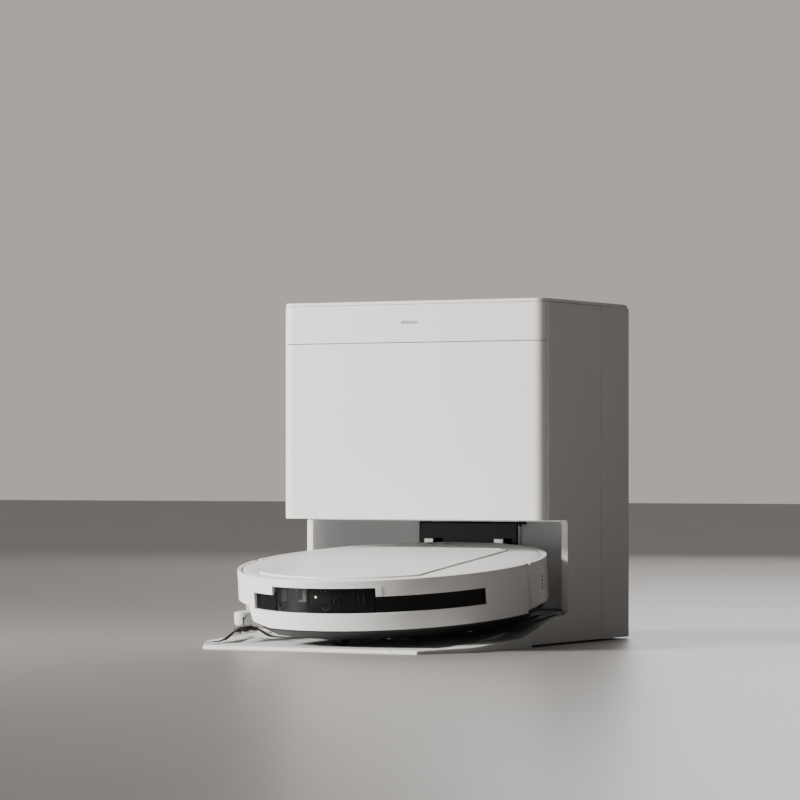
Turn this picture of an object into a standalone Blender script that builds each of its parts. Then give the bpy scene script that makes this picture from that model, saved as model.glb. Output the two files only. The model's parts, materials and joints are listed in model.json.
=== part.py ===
"""Robot vacuum parked in its washing and emptying station.

Frame: metres, +Z up, the room side of the station faces -Y. The origin is the centre of the
station's footprint, on the floor. The robot is modelled level, standing on its own ground
plane, and one empty carries it onto the station's ramp, nose down.
"""

import math

import bmesh
import bpy
from mathutils import Matrix, Vector

MM = 0.001

# Station, driving dimensions
HALF_WIDTH = 170.5 * MM
TOP = 390 * MM
Y_RAMP = -228 * MM  # front edge of the ramp
Y_FACE = 9 * MM  # front face of the upper box
Y_NICHE = 70 * MM  # front edge of the lower side walls
Y_NICHE_BACK = 154 * MM  # back wall of the niche
Y_SEAM = 154 * MM  # where the side panels meet the back cover
Y_BACK = 231 * MM
Z_SILL = 140.6 * MM  # underside of the upper box
Z_DOOR_TOP = 342.2 * MM
Z_LID = 386.4 * MM  # underside of the lid
WALL = 3 * MM
CORNER = 14 * MM  # radius of the front's upright edges
RETURN = 8 * MM  # how far the door and fascia wrap round the side
GAP = 0.4 * MM
FOOT = 1.5 * MM

# Robot, driving dimensions
HULL_RADIUS = 175 * MM
ROBOT_HEIGHT = 79.5 * MM
TILT = math.radians(6)
ROBOT_AT = Vector((0, -28.6 * MM, 16.4 * MM))
WHEEL_RADIUS = 36 * MM
WHEEL_X = 113 * MM
DECK_RADIUS = 168.4 * MM
SHELL_RADIUS = 166 * MM
BUMPER_INNER = 171.3 * MM
BUMPER_END = 86.5  # degrees from straight ahead
BUMPER_LOW = 23.5 * MM
BUMPER_HIGH = 78.4 * MM
WINDOW = (-33.5, 64.5, 42.5 * MM, 60.5 * MM)  # from and to in degrees, low and high
SENSOR_BAY = (-21.0, 22.3, 42.5 * MM, 70 * MM)
CASTER_AT = Vector((0, -130 * MM, 0))
BRUSH_AT = Vector((0, -52 * MM, 20.5 * MM))
SIDE_ARM_PIVOT = Vector((-106 * MM, -76 * MM, 0))
SIDE_BRUSH_AT = Vector((-132.8 * MM, -110 * MM, 0))
BRISTLE_REACH = 58 * MM
MOP_AT = Vector((64 * MM, 88 * MM, 0))
MOP_RADIUS = 58 * MM
LID_HINGE = Vector((0, Y_BACK - 4.5 * MM, 385.4 * MM))


def ramp_height(y):
    """Height of the robot's ground plane over the station's floor plan."""
    return ROBOT_AT.z + (y - ROBOT_AT.y) * math.tan(TILT)


# ---------------------------------------------------------------- helpers

def clear_scene():
    for obj in list(bpy.data.objects):
        bpy.data.objects.remove(obj, do_unlink=True)


def new_collection(name):
    collection = bpy.data.collections.new(name)
    bpy.context.scene.collection.children.link(collection)
    return collection


def new_material(name, colour, roughness, metallic=0.0):
    made = bpy.data.materials.new(name)
    made.use_nodes = True
    shader = made.node_tree.nodes["Principled BSDF"]
    shader.inputs["Base Color"].default_value = (*colour, 1)
    shader.inputs["Roughness"].default_value = roughness
    shader.inputs["Metallic"].default_value = metallic
    made.diffuse_color = (*colour, 1)
    return made


clear_scene()
PARTS = new_collection("robot_vacuum")
CUTTERS = new_collection("cutters")
WHITE = new_material("white_shell", (0.83, 0.83, 0.82), 0.38)
PALE = new_material("pale_grey", (0.62, 0.63, 0.63), 0.5)
BLACK = new_material("black_plastic", (0.025, 0.025, 0.027), 0.45)
GLOSS = new_material("black_window", (0.01, 0.01, 0.012), 0.08)
RUBBER = new_material("dark_rubber", (0.03, 0.03, 0.03), 0.8)
STEEL = new_material("steel", (0.62, 0.62, 0.64), 0.3, 1.0)
CLEAR_TANK = new_material("smoked_tank", (0.35, 0.38, 0.4), 0.15)
PAPER = new_material("filter_paper", (0.86, 0.84, 0.78), 0.9)
PAD = new_material("mop_pad", (0.3, 0.32, 0.36), 0.95)
BOARD = new_material("circuit_board", (0.03, 0.16, 0.08), 0.5)

ROBOT = bpy.data.objects.new("robot_pose", None)
ROBOT.location = ROBOT_AT
ROBOT.rotation_euler = (TILT, 0, 0)
PARTS.objects.link(ROBOT)


def finish(obj, material, parent=None, collection=PARTS):
    """Gives an object its material and parent, and moves it to its collection."""
    for old in list(obj.users_collection):
        old.objects.unlink(obj)
    collection.objects.link(obj)
    if material is not None:
        obj.data.materials.clear()
        obj.data.materials.append(material)
    obj.parent = parent
    return obj


def from_bmesh(name, bm, material, parent=None):
    mesh = bpy.data.meshes.new(name)
    bm.to_mesh(mesh)
    bm.free()
    return finish(bpy.data.objects.new(name, mesh), material, parent)


def round_edges(obj, width, segments=2, angle=40):
    bevel = obj.modifiers.new("rounded edges", "BEVEL")
    bevel.width = width
    bevel.segments = segments
    bevel.limit_method = "ANGLE"
    bevel.angle_limit = math.radians(angle)
    return obj


def box(name, low, high, material, parent=None, bevel=0, segments=2):
    """A block between two corners, in millimetres."""
    low, high = Vector(low) * MM, Vector(high) * MM
    bm = bmesh.new()
    bmesh.ops.create_cube(bm, size=1)
    bmesh.ops.scale(bm, vec=high - low, verts=bm.verts)
    bmesh.ops.translate(bm, vec=(low + high) / 2, verts=bm.verts)
    obj = from_bmesh(name, bm, material, parent)
    return round_edges(obj, bevel * MM, segments) if bevel else obj


def cylinder(name, radius, centre, length, material, parent=None, axis="Z", segments=32, bevel=0):
    """A rod of one radius, its centre and length in metres."""
    bm = bmesh.new()
    bmesh.ops.create_cone(bm, cap_ends=True, segments=segments, radius1=radius, radius2=radius,
                          depth=length)
    if axis == "X":
        bmesh.ops.rotate(bm, matrix=Matrix.Rotation(math.pi / 2, 3, "Y"), verts=bm.verts)
    if axis == "Y":
        bmesh.ops.rotate(bm, matrix=Matrix.Rotation(math.pi / 2, 3, "X"), verts=bm.verts)
    bmesh.ops.translate(bm, vec=Vector(centre), verts=bm.verts)
    obj = from_bmesh(name, bm, material, parent)
    smooth(obj)
    return round_edges(obj, bevel, 2) if bevel else obj


def smooth(obj):
    obj.data.shade_smooth()
    obj.data.set_sharp_from_angle(angle=math.radians(35))


def outline_solid(name, points, low, high, material, parent=None, plane="XY"):
    """A flat outline given thickness from low to high along the plane's normal, in metres."""
    curve = bpy.data.curves.new(name + "_outline", "CURVE")
    curve.dimensions = "2D"
    curve.fill_mode = "BOTH"
    curve.extrude = (high - low) / 2
    spline = curve.splines.new("POLY")
    spline.points.add(len(points) - 1)
    for point, (u, v) in zip(spline.points, points):
        point.co = (u, v, 0, 1)
    spline.use_cyclic_u = True
    guide = bpy.data.objects.new(name + "_outline", curve)
    bpy.context.scene.collection.objects.link(guide)
    bpy.context.view_layer.update()
    graph = bpy.context.evaluated_depsgraph_get()
    mesh = bpy.data.meshes.new_from_object(guide.evaluated_get(graph))
    bpy.data.objects.remove(guide)
    bpy.data.curves.remove(curve)
    turn = Matrix.Identity(4)
    if plane == "YZ":  # u runs along Y, v along Z, and the thickness along X
        turn = Matrix(((0, 0, 1, 0), (1, 0, 0, 0), (0, 1, 0, 0), (0, 0, 0, 1)))
    mesh.transform(turn @ Matrix.Translation((0, 0, (low + high) / 2)))
    bm = bmesh.new()
    bm.from_mesh(mesh)
    bmesh.ops.remove_doubles(bm, verts=bm.verts, dist=1e-6)
    bmesh.ops.recalc_face_normals(bm, faces=bm.faces)
    bpy.data.meshes.remove(mesh)
    return from_bmesh(name, bm, material, parent)


def turned(name, profile, material, parent=None, steps=72):
    """A profile of (radius, height) in millimetres, running down its outer side, turned about Z."""
    mesh = bpy.data.meshes.new(name)
    points = [(r * MM, 0, z * MM) for r, z in profile]
    edges = [(i, i + 1) for i in range(len(points) - 1)]
    if profile[0][0] > 0:
        edges.append((len(points) - 1, 0))
    mesh.from_pydata(points, edges, [])
    obj = finish(bpy.data.objects.new(name, mesh), material, parent)
    screw = obj.modifiers.new("turned", "SCREW")
    screw.axis = "Z"
    screw.steps = screw.render_steps = steps
    screw.use_merge_vertices = True
    screw.merge_threshold = 0.00001
    screw.use_smooth_shade = True
    return obj


def polar(radius, degrees):
    """A point on the robot's plan: 0 degrees is straight ahead, and positive is towards +X."""
    a = math.radians(degrees)
    return radius * math.sin(a), -radius * math.cos(a)


def sector(name, inner, outer, start, end, low, high, material, parent=None, step=4):
    """A curved wall round the robot's axis, between two angles in degrees."""
    count = max(2, math.ceil((end - start) / step))
    angles = [start + (end - start) * i / count for i in range(count + 1)]
    points = [polar(outer, a) for a in angles] + [polar(inner, a) for a in reversed(angles)]
    return outline_solid(name, points, low, high, material, parent)


def rounded_path(corners, steps=5):
    """A closed outline from (x, y, radius) corners, each sharp or an arc."""
    points = []
    for i, (x, y, radius) in enumerate(corners):
        here = Vector((x, y))
        if not radius:
            points.append((x, y))
            continue
        before = Vector(corners[i - 1][:2]) - here
        after = Vector(corners[(i + 1) % len(corners)][:2]) - here
        half = before.angle(after) / 2
        reach = radius / math.tan(half)
        centre = here + (before.normalized() + after.normalized()).normalized() * (radius / math.sin(half))
        first = here + before.normalized() * reach - centre
        sweep = first.angle_signed(here + after.normalized() * reach - centre)
        for k in range(steps + 1):
            turn = Matrix.Rotation(-sweep * k / steps, 2)
            points.append(tuple(centre + turn @ first))
    return points


def u_plan(steps=8):
    """Plan of a panel that covers the front and wraps round both upright edges."""
    back = Y_FACE + CORNER + MM
    w, inner = HALF_WIDTH, HALF_WIDTH - WALL
    return rounded_path([
        (-w, back, 0), (-w, Y_FACE, CORNER), (w, Y_FACE, CORNER), (w, back, 0),
        (inner, back, 0), (inner, Y_FACE + WALL, CORNER - WALL),
        (-inner, Y_FACE + WALL, CORNER - WALL), (-inner, back, 0),
    ], steps)


def combine(obj, other, operation="DIFFERENCE"):
    """Cuts or joins other into obj. Other becomes a hidden cutter."""
    boolean = obj.modifiers.new(operation.lower(), "BOOLEAN")
    boolean.operation = operation
    boolean.solver = "EXACT"
    boolean.object = other
    for old in list(other.users_collection):
        old.objects.unlink(other)
    CUTTERS.objects.link(other)
    other.hide_render = True
    other.display_type = "WIRE"
    return obj


def join(obj, other):
    return combine(obj, other, "UNION")


def set_origin(obj, point):
    """Puts a moving piece's origin on its joint, and leaves its shape where it is."""
    point = Vector(point)
    obj.data.transform(Matrix.Translation(-point))
    obj.location = point
    return obj


# ---------------------------------------------------------------- station: base

def make_feet():
    for end, y in (("front", 0), ("rear", 200)):
        box(f"foot_{end}", (-150, y - 9, 0), (150, y + 9, FOOT / MM), RUBBER)


def make_front_ramp():
    low, lip, rear = 0.0, 3.6 * MM, -25.5 * MM
    front = Y_RAMP
    start = ROBOT_AT.y + (lip + 0.5 * MM - ROBOT_AT.z) / math.tan(TILT)
    middle = [(front, low), (rear, low), (rear, ramp_height(rear) - 0.5 * MM), (start, lip),
              (front + 1.5 * MM, lip), (front, lip - 1.5 * MM)]
    ramp = outline_solid("front_ramp", middle, -140 * MM, 140 * MM, WHITE, plane="YZ")
    border = [(front, low), (rear, low), (rear, 16.2 * MM), (-52 * MM, 10.4 * MM),
              (-165 * MM, 5.4 * MM), (front + 2 * MM, lip), (front, lip - 1.5 * MM)]
    for side, sign in (("left", -1), ("right", 1)):
        inner, outer = 139 * MM, HALF_WIDTH
        a, b = sorted((sign * inner, sign * outer))
        join(ramp, outline_solid(f"ramp_border_{side}", border, a, b, WHITE, plane="YZ"))
        corner = [(sign * 133 * MM, Y_RAMP - MM), (sign * 180 * MM, Y_RAMP - MM),
                  (sign * 180 * MM, -150 * MM), (sign * 170.5 * MM, -150 * MM),
                  (sign * 165 * MM, -172 * MM)]
        combine(ramp, outline_solid(f"ramp_corner_{side}", corner, -5 * MM, 40 * MM, WHITE))
    return ramp


def make_base_plate():
    low = FOOT + 0.3 * MM
    front, rear = -25 * MM, Y_BACK - WALL - GAP
    level = ramp_height(Y_NICHE_BACK) - 2 * MM
    profile = [(front, low), (rear, low), (rear, level), (Y_NICHE_BACK, level),
               (front, ramp_height(front) - 0.5 * MM)]
    inner = HALF_WIDTH - WALL - GAP
    base = outline_solid("base_plate", profile, -inner, inner, WHITE, plane="YZ")
    border = [(front + 0.01 * MM, low + 0.01 * MM), (front + 0.01 * MM, 16.2 * MM), (12 * MM, 25.7 * MM),
              (Y_NICHE - 0.5 * MM, 32.4 * MM), (Y_NICHE - 0.5 * MM, low + 0.01 * MM)]
    for side, sign in (("left", -1), ("right", 1)):
        a, b = sorted((sign * 157 * MM, sign * (inner - 0.01 * MM)))
        join(base, outline_solid(f"base_border_{side}", border, a, b, WHITE, plane="YZ"))
    combine(base, box("basin_cut", (-128, -6, 10), (128, 122, 80), WHITE))
    return base


def make_wash_board():
    front, rear, low = -5 * MM, 121 * MM, 10.4 * MM
    profile = [(front, low), (rear, low), (rear, ramp_height(rear) - 1 * MM),
               (front, ramp_height(front) - 1 * MM)]
    board = outline_solid("wash_board", profile, -127 * MM, 127 * MM, PALE, plane="YZ")
    for i in range(9):
        x = (i - 4) * 28
        cut = box(f"wash_groove_{i + 1}", (x - 4, 4, 16.5), (x + 4, 112, 60), PALE)
        combine(board, cut)
    return board


# ---------------------------------------------------------------- station: casing

def make_side_panels():
    top = Z_LID - GAP
    sill = Z_SILL - 0.2 * MM
    outline = [(Y_FACE + RETURN + GAP, top), (Y_SEAM - 0.2 * MM, top), (Y_SEAM - 0.2 * MM, 2 * MM),
               (-25 * MM, 2 * MM), (-25 * MM, 16.5 * MM), (12 * MM, 26 * MM), (60 * MM, 32 * MM),
               (Y_NICHE, 38 * MM), (Y_NICHE, sill), (Y_FACE + RETURN + GAP, sill)]
    for side, sign in (("left", -1), ("right", 1)):
        a, b = sorted((sign * (HALF_WIDTH - WALL), sign * HALF_WIDTH))
        outline_solid(f"side_panel_{side}", outline, a, b, WHITE, plane="YZ")


def make_back_cover():
    w, inner = HALF_WIDTH, HALF_WIDTH - WALL
    front = Y_SEAM + 0.2 * MM
    plan = rounded_path([
        (-w, front, 0), (-inner, front, 0), (-inner, Y_BACK - WALL, 0), (inner, Y_BACK - WALL, 0),
        (inner, front, 0), (w, front, 0), (w, Y_BACK, 1.5 * MM), (-w, Y_BACK, 1.5 * MM),
    ], 4)
    cover = outline_solid("back_cover", plan, 2 * MM, Z_LID - GAP, WHITE)
    combine(cover, box("hinge_notch", (-152, 215, 379.6), (152, 240, 400), WHITE))
    for side, sign in (("left", -1), ("right", 1)):
        a, b = sorted((sign * 152.4, sign * 168))
        join(cover, box(f"hinge_lug_{side}", (a, 223.4, 376), (b, 230.6, 389.4), WHITE))
    combine(cover, cylinder("pin_bore", 1.9 * MM, LID_HINGE, 322 * MM, WHITE, axis="X", segments=16))
    combine(cover, box("inlet_hole", (119.6, 215, 35.6), (144.4, 240, 56.4), WHITE))
    return cover


def make_niche_liner():
    """The pale liner round the parked robot: two side walls, big rounded corners and a back."""
    outer = HALF_WIDTH - WALL - GAP
    inner = outer - 5 * MM
    back_outer = Y_NICHE_BACK + WALL
    plan = rounded_path([
        (-outer, Y_NICHE, 0), (-inner, Y_NICHE, 0), (-inner, Y_NICHE_BACK, 55 * MM),
        (inner, Y_NICHE_BACK, 55 * MM), (inner, Y_NICHE, 0), (outer, Y_NICHE, 0),
        (outer, back_outer, 58 * MM), (-outer, back_outer, 58 * MM),
    ], 8)
    liner = outline_solid("niche_liner", plan, 35 * MM, 138.4 * MM, PALE)
    ceiling = rounded_path([
        (-outer, Y_NICHE, 0), (outer, Y_NICHE, 0), (outer, back_outer, 58 * MM),
        (-outer, back_outer, 58 * MM),
    ], 8)
    join(liner, outline_solid("niche_ceiling", ceiling, 138.3 * MM, 141.4 * MM, PALE))
    return liner


def make_docking_fittings():
    box("docking_window", (-64.7, 150, 96), (64.7, 153.6, 136), GLOSS, bevel=1.5)
    for side, sign in (("left", -1), ("right", 1)):
        block = sorted((sign * 39.5, sign * 52.5))
        finger = sorted((sign * 42, sign * 50))
        contact = box(f"charge_contact_{side}", (block[0], 138, 82), (block[1], 145.5, 117), STEEL, bevel=1)
        join(contact, box(f"contact_finger_{side}", (finger[0], 135.4, 84), (finger[1], 139, 93), STEEL))


def make_inner_frame():
    deck = box("inner_frame", (-166.4, 29.5, 142.2), (166.4, 224.4, 145.2), PALE)
    join(deck, box("bulkhead", (-166.4, 100, 144), (166.4, 102.5, 384), PALE))
    join(deck, box("fan_wall", (16, 46, 144), (18.5, 101, 300), PALE))
    return deck


def make_front():
    fascia = outline_solid("front_fascia", u_plan(), Z_DOOR_TOP + 2 * GAP, Z_LID - GAP, WHITE)
    combine(fascia, box("light_slot", (-12.9, 0, 364.1), (8.4, 40, 367.1), WHITE))
    box("status_light", (-12.5, 9.3, 364.5), (8, 11.8, 366.7), PALE)
    door = outline_solid("dock_door", u_plan(), Z_SILL, Z_DOOR_TOP, WHITE)
    back = (Y_FACE + RETURN) / MM
    for panel in (fascia, door):
        combine(panel, box(f"{panel.name}_end_cut", (-200, back, 100), (200, back + 40, 400), WHITE))
    for i, x in enumerate((-120, 120)):
        join(door, box(f"door_tab_{i + 1}", (x - 8, 11, 180), (x + 8, 17, 196), WHITE))
        join(door, box(f"door_catch_{i + 1}", (x - 8, 11, 300), (x + 8, 17, 316), WHITE))
    set_origin(door, (0, Y_FACE, (Z_SILL + Z_DOOR_TOP) / 2))


def make_dock_lid():
    w = HALF_WIDTH
    rear, notch, shoulder = LID_HINGE.y - 3.5 * MM, LID_HINGE.y - 6.5 * MM, 151.8 * MM
    plan = rounded_path([
        (-w, Y_FACE, CORNER), (w, Y_FACE, CORNER), (w, notch, 0), (shoulder, notch, 0),
        (shoulder, rear, 0), (-shoulder, rear, 0), (-shoulder, notch, 0), (-w, notch, 0),
    ], 6)
    lid = outline_solid("dock_lid", plan, Z_LID, TOP, WHITE)
    join(lid, cylinder("hinge_barrel", 4.1 * MM, LID_HINGE, 302 * MM, WHITE, axis="X", segments=24))
    combine(lid, cylinder("barrel_bore", 1.9 * MM, LID_HINGE, 310 * MM, WHITE, axis="X", segments=16))
    set_origin(lid, LID_HINGE)
    cylinder("lid_hinge_pin", 1.5 * MM, LID_HINGE, 318 * MM, STEEL, axis="X", segments=16)


# ---------------------------------------------------------------- station: inside

def make_tank(name, x_low, x_high):
    tank = box(name, (x_low, 106, 148), (x_high, 210, 352), CLEAR_TANK, bevel=8, segments=3)
    hollow = box(f"{name}_hollow", (x_low + 2.5, 108.5, 150.5), (x_high - 2.5, 207.5, 380), CLEAR_TANK)
    round_edges(hollow, 6 * MM, 2)
    combine(tank, hollow)
    cap = box(f"{name}_cap", (x_low, 106, 352.4), (x_high, 210, 357), BLACK, bevel=1.5)
    middle = (x_low + x_high) / 2
    grip = box(f"{name}_grip", (middle - 42, 152, 356), (middle + 42, 164, 379), BLACK, bevel=3)
    join(cap, grip)
    combine(cap, box(f"{name}_grip_gap", (middle - 34, 142, 357.2), (middle + 34, 174, 372), BLACK))


def make_insides():
    make_tank("clean_tank", -164, -3)
    make_tank("dirty_tank", 3, 164)
    box("dust_bag", (-152, 34, 150), (4, 95, 318), PAPER, bevel=14, segments=3)
    cylinder("dust_fan", 32 * MM, (88 * MM, 64 * MM, 194 * MM), 92 * MM, BLACK, segments=32, bevel=4 * MM)
    box("power_supply", (48, 168, 37), (112, 214, 128), BLACK, bevel=3)
    cylinder("water_pump", 20 * MM, (-118 * MM, 190 * MM, 78 * MM), 80 * MM, BLACK, segments=24, bevel=2 * MM)
    make_inlet()
    make_duct()


def make_inlet():
    inlet = box("power_inlet", (120, 209, 36), (144, 230.6, 56), BLACK, bevel=1)
    combine(inlet, box("inlet_socket", (123, 216, 40), (141, 243, 52), BLACK))


def make_duct():
    """Round duct that carries dust from the niche up to the bag compartment."""
    curve = bpy.data.curves.new("dust_duct", "CURVE")
    curve.dimensions = "3D"
    curve.bevel_depth = 15 * MM
    curve.bevel_resolution = 3
    curve.use_fill_caps = True
    spline = curve.splines.new("POLY")
    start, bend = Vector((-40 * MM, 176 * MM, 52 * MM)), 24 * MM
    route = [start + Vector((-bend * math.sin(a), 0, bend * (1 - math.cos(a))))
             for a in (math.radians(d) for d in range(0, 91, 15))]
    route.insert(0, start + Vector((30 * MM, 0, 0)))
    route.append(Vector((route[-1].x, route[-1].y, 138 * MM)))
    spline.points.add(len(route) - 1)
    for point, place in zip(spline.points, route):
        point.co = (*place, 1)
    PARTS.objects.link(bpy.data.objects.new("dust_duct", curve))
    curve.materials.append(BLACK)


# ---------------------------------------------------------------- robot: shells

def lid_plan(inset=0.0):
    """Plan of the robot's lift-off cover: square shoulders behind, the hull's curve in front."""
    half, rear = 102 * MM - inset, 98 * MM - inset
    radius = 161 * MM - inset
    limit = math.degrees(math.asin(half / radius))
    arc = [polar(radius, -limit + 2 * limit * i / 18) for i in range(19)]
    shoulders = rounded_path([(half, rear, 12 * MM), (-half, rear, 12 * MM), (-half, 0, 0), (half, 0, 0)], 4)
    return arc + shoulders[:-2]


def make_hull_shell():
    profile = [(0, 79.5), (150, 79.4), (163, 79.0), (168.4, 77.6), (168.4, 75.4), (166, 75.4), (166, 24.2),
               (163.5, 24.2), (163.5, 76.2), (0, 76.2)]
    shell = turned("hull_shell", profile, WHITE, ROBOT, 90)
    combine(shell, outline_solid("lid_pocket", lid_plan(), 77.8 * MM, 90 * MM, WHITE, ROBOT))
    combine(shell, box("bin_hole", (-76, -22, 60), (76, 70, 90), WHITE, ROBOT))
    bay = sector("bay_opening", 150 * MM, 180 * MM, SENSOR_BAY[0] - 1, SENSOR_BAY[1] + 1, 36 * MM, 74 * MM,
                 WHITE, ROBOT)
    combine(shell, bay)
    arm = sector("arm_opening", 130 * MM, 190 * MM, -80, -34, 10 * MM, 46 * MM, WHITE, ROBOT)
    combine(shell, arm)
    for name, x in (("power", -28), ("home", -6)):
        hole = cylinder(f"{name}_button_hole", 8.3 * MM, (x * MM, 146 * MM, 78 * MM), 20 * MM, WHITE, ROBOT,
                        segments=24)
        combine(shell, hole)
    return shell


def make_robot_lid():
    lid = outline_solid("robot_lid", lid_plan(0.5 * MM), 78.1 * MM, 81 * MM, WHITE, ROBOT)
    set_origin(lid, (0, 0, 78.1 * MM))


def make_bumper():
    bumper = sector("bumper", BUMPER_INNER, HULL_RADIUS, -BUMPER_END, BUMPER_END, BUMPER_LOW, BUMPER_HIGH,
                    WHITE, ROBOT, step=3)
    inner, outer = BUMPER_INNER - 8 * MM, HULL_RADIUS + 8 * MM
    for name, (start, end, low, high) in (("window_cut", WINDOW), ("bay_cut", SENSOR_BAY)):
        combine(bumper, sector(name, inner, outer, start, end, low, high, WHITE, ROBOT, step=3))
    combine(bumper, sector("arm_cut", inner, outer, -76, -38.6, 0, 45 * MM, WHITE, ROBOT))
    edge = [(-2 * MM, 0), (66 * MM, 0), (46 * MM, BUMPER_LOW), (9 * MM, 28 * MM), (-2 * MM, 45 * MM)]
    slope = outline_solid("arm_slope", edge, -16 * MM, 16 * MM, WHITE, ROBOT, plane="YZ")
    # The slope's outline lies across the hull: its length follows the wall at 38.6 degrees left.
    turn = math.radians(-38.6)
    slope.rotation_euler = (0, 0, turn - math.pi / 2)
    slope.location = (*polar(173 * MM, -38.6), 0)
    combine(bumper, slope)
    set_origin(bumper, (0, -HULL_RADIUS, 50 * MM))


def make_bumper_window():
    start, end, low, high = WINDOW
    window = sector("bumper_window", 169 * MM, 171 * MM, start - 2, end + 2, low - 2.3 * MM, high + 2.3 * MM,
                    GLOSS, ROBOT)
    gap = sector("window_gap", 160 * MM, 180 * MM, SENSOR_BAY[0], SENSOR_BAY[1], low - 0.1 * MM, 90 * MM,
                 GLOSS, ROBOT)
    combine(window, gap)
    set_origin(window, (0, -HULL_RADIUS, 50 * MM))


def make_rear_cover():
    cover = sector("rear_cover", 169.3 * MM, HULL_RADIUS, 89.5, 270.5, 29 * MM, 78.4 * MM, WHITE, ROBOT, step=3)
    for i in range(4):
        x, y = polar(172 * MM, 101)
        hole = cylinder(f"speaker_hole_{i + 1}", 1.3 * MM, (0, 0, 0), 30 * MM, WHITE, ROBOT, axis="X", segments=12)
        hole.location = (x, y, (46.4 + 4.2 * i) * MM)
        hole.scale = (1, 2, 1)
        combine(cover, hole)
    return cover


def make_chassis():
    profile = [(0, 14), (146, 14), (164, 23.8), (168.5, 23.8), (168.5, 21), (150, 11), (0, 11)]
    chassis = turned("chassis", profile, BLACK, ROBOT, 72)
    for side, sign in (("left", -1), ("right", 1)):
        a, b = sorted((sign * 80, sign * 128))
        combine(chassis, box(f"wheel_well_{side}", (a, -45, 0), (b, 45, 40), BLACK, ROBOT))
        x, y = sign * MOP_AT.x, MOP_AT.y
        combine(chassis, cylinder(f"mop_well_{side}", MOP_RADIUS + 2 * MM, (x, y, 9 * MM), 20 * MM, BLACK, ROBOT))
    combine(chassis, box("brush_slot", (-92, -79, 0), (92, -27, 40), BLACK, ROBOT))
    combine(chassis, cylinder("caster_socket", 21 * MM, (0, CASTER_AT.y, 10 * MM), 20 * MM, BLACK, ROBOT))
    combine(chassis, sector("arm_slot", 96 * MM, 190 * MM, -76, -32, 0, 40 * MM, BLACK, ROBOT))
    return chassis


# ---------------------------------------------------------------- robot: sensing and controls

def make_sensor_bay():
    start, end, low, high = SENSOR_BAY
    sector("sensor_bay", 157 * MM, 163 * MM, start + 0.4, end - 0.4, low - 4 * MM, high + 3 * MM, BLACK, ROBOT)
    for name, angle, radius, z in (("camera_lens", 6, 6, 55), ("fill_light", -2.4, 3, 59.3)):
        x, y = polar(166 * MM, angle)
        made = cylinder(name, radius * MM, (0, 0, 0), 5.4 * MM, GLOSS, ROBOT, axis="Y", segments=24, bevel=0.6 * MM)
        made.location = (x, y, z * MM)
        made.rotation_euler = (0, 0, math.radians(angle))
    for side, angle in (("left", -17), ("right", 17)):
        x, y = polar(166 * MM, angle)
        made = box(f"line_laser_{side}", (-3, -2.5, -7), (3, 2.5, 7), PALE, ROBOT, bevel=0.8)
        made.location = (x, y, 58 * MM)
        made.rotation_euler = (0, 0, math.radians(angle))


def make_buttons():
    for name, x in (("power_button", -28 * MM), ("home_button", -6 * MM)):
        button = cylinder(name, 8 * MM, (0, 0, 0), 5 * MM, PALE, ROBOT, segments=24, bevel=0.6 * MM)
        button.location = (x, 146 * MM, 77.6 * MM)


# ---------------------------------------------------------------- robot: running gear

def make_wheels():
    for side, sign in (("left", -1), ("right", 1)):
        a, b = sorted((sign * 84, sign * 101))
        module = box(f"wheel_module_{side}", (a, -30, 20), (b, 34, 56), BLACK, ROBOT, bevel=3)
        stub = cylinder(f"axle_stub_{side}", 3.6 * MM, (sign * 109 * MM, 0, WHEEL_RADIUS), 26 * MM, STEEL, ROBOT,
                        axis="X", segments=16)
        join(module, stub)
        set_origin(module, (0, 0, WHEEL_RADIUS))
        wheel = turned(f"drive_wheel_{side}", [(WHEEL_RADIUS / MM - 1.5, 10), (WHEEL_RADIUS / MM, 8.5),
                                               (WHEEL_RADIUS / MM, -8.5), (WHEEL_RADIUS / MM - 1.5, -10),
                                               (4, -10), (4, 10)], RUBBER, ROBOT, 48)
        wheel.location = (sign * WHEEL_X, 0, WHEEL_RADIUS)
        wheel.rotation_euler = (0, math.pi / 2, 0)


def make_caster():
    radius, x, y = 12.5 * MM, CASTER_AT.x, CASTER_AT.y
    z = radius + 1.6 * MM
    fork = turned("caster_fork", [(0, 28.6), (17, 28.6), (19, 26), (19, 10), (0, 10)], BLACK, ROBOT, 32)
    fork.location = (x, y, 0)
    combine(fork, cylinder("fork_hollow", 13.8 * MM, (x, y + 3 * MM, z), 17 * MM, BLACK, ROBOT, axis="X",
                           segments=24))
    bush = cylinder("caster_bush", 6 * MM, (0, 0, 2.75 * MM), 5.5 * MM, STEEL, ROBOT, segments=24)
    bush.location = (x, y, 30.2 * MM)
    wheel = cylinder("caster_wheel", radius, (0, 0, 0), 16 * MM, RUBBER, ROBOT, axis="X", segments=32,
                     bevel=2 * MM)
    wheel.location = (x, y + 3 * MM, z)


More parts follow.
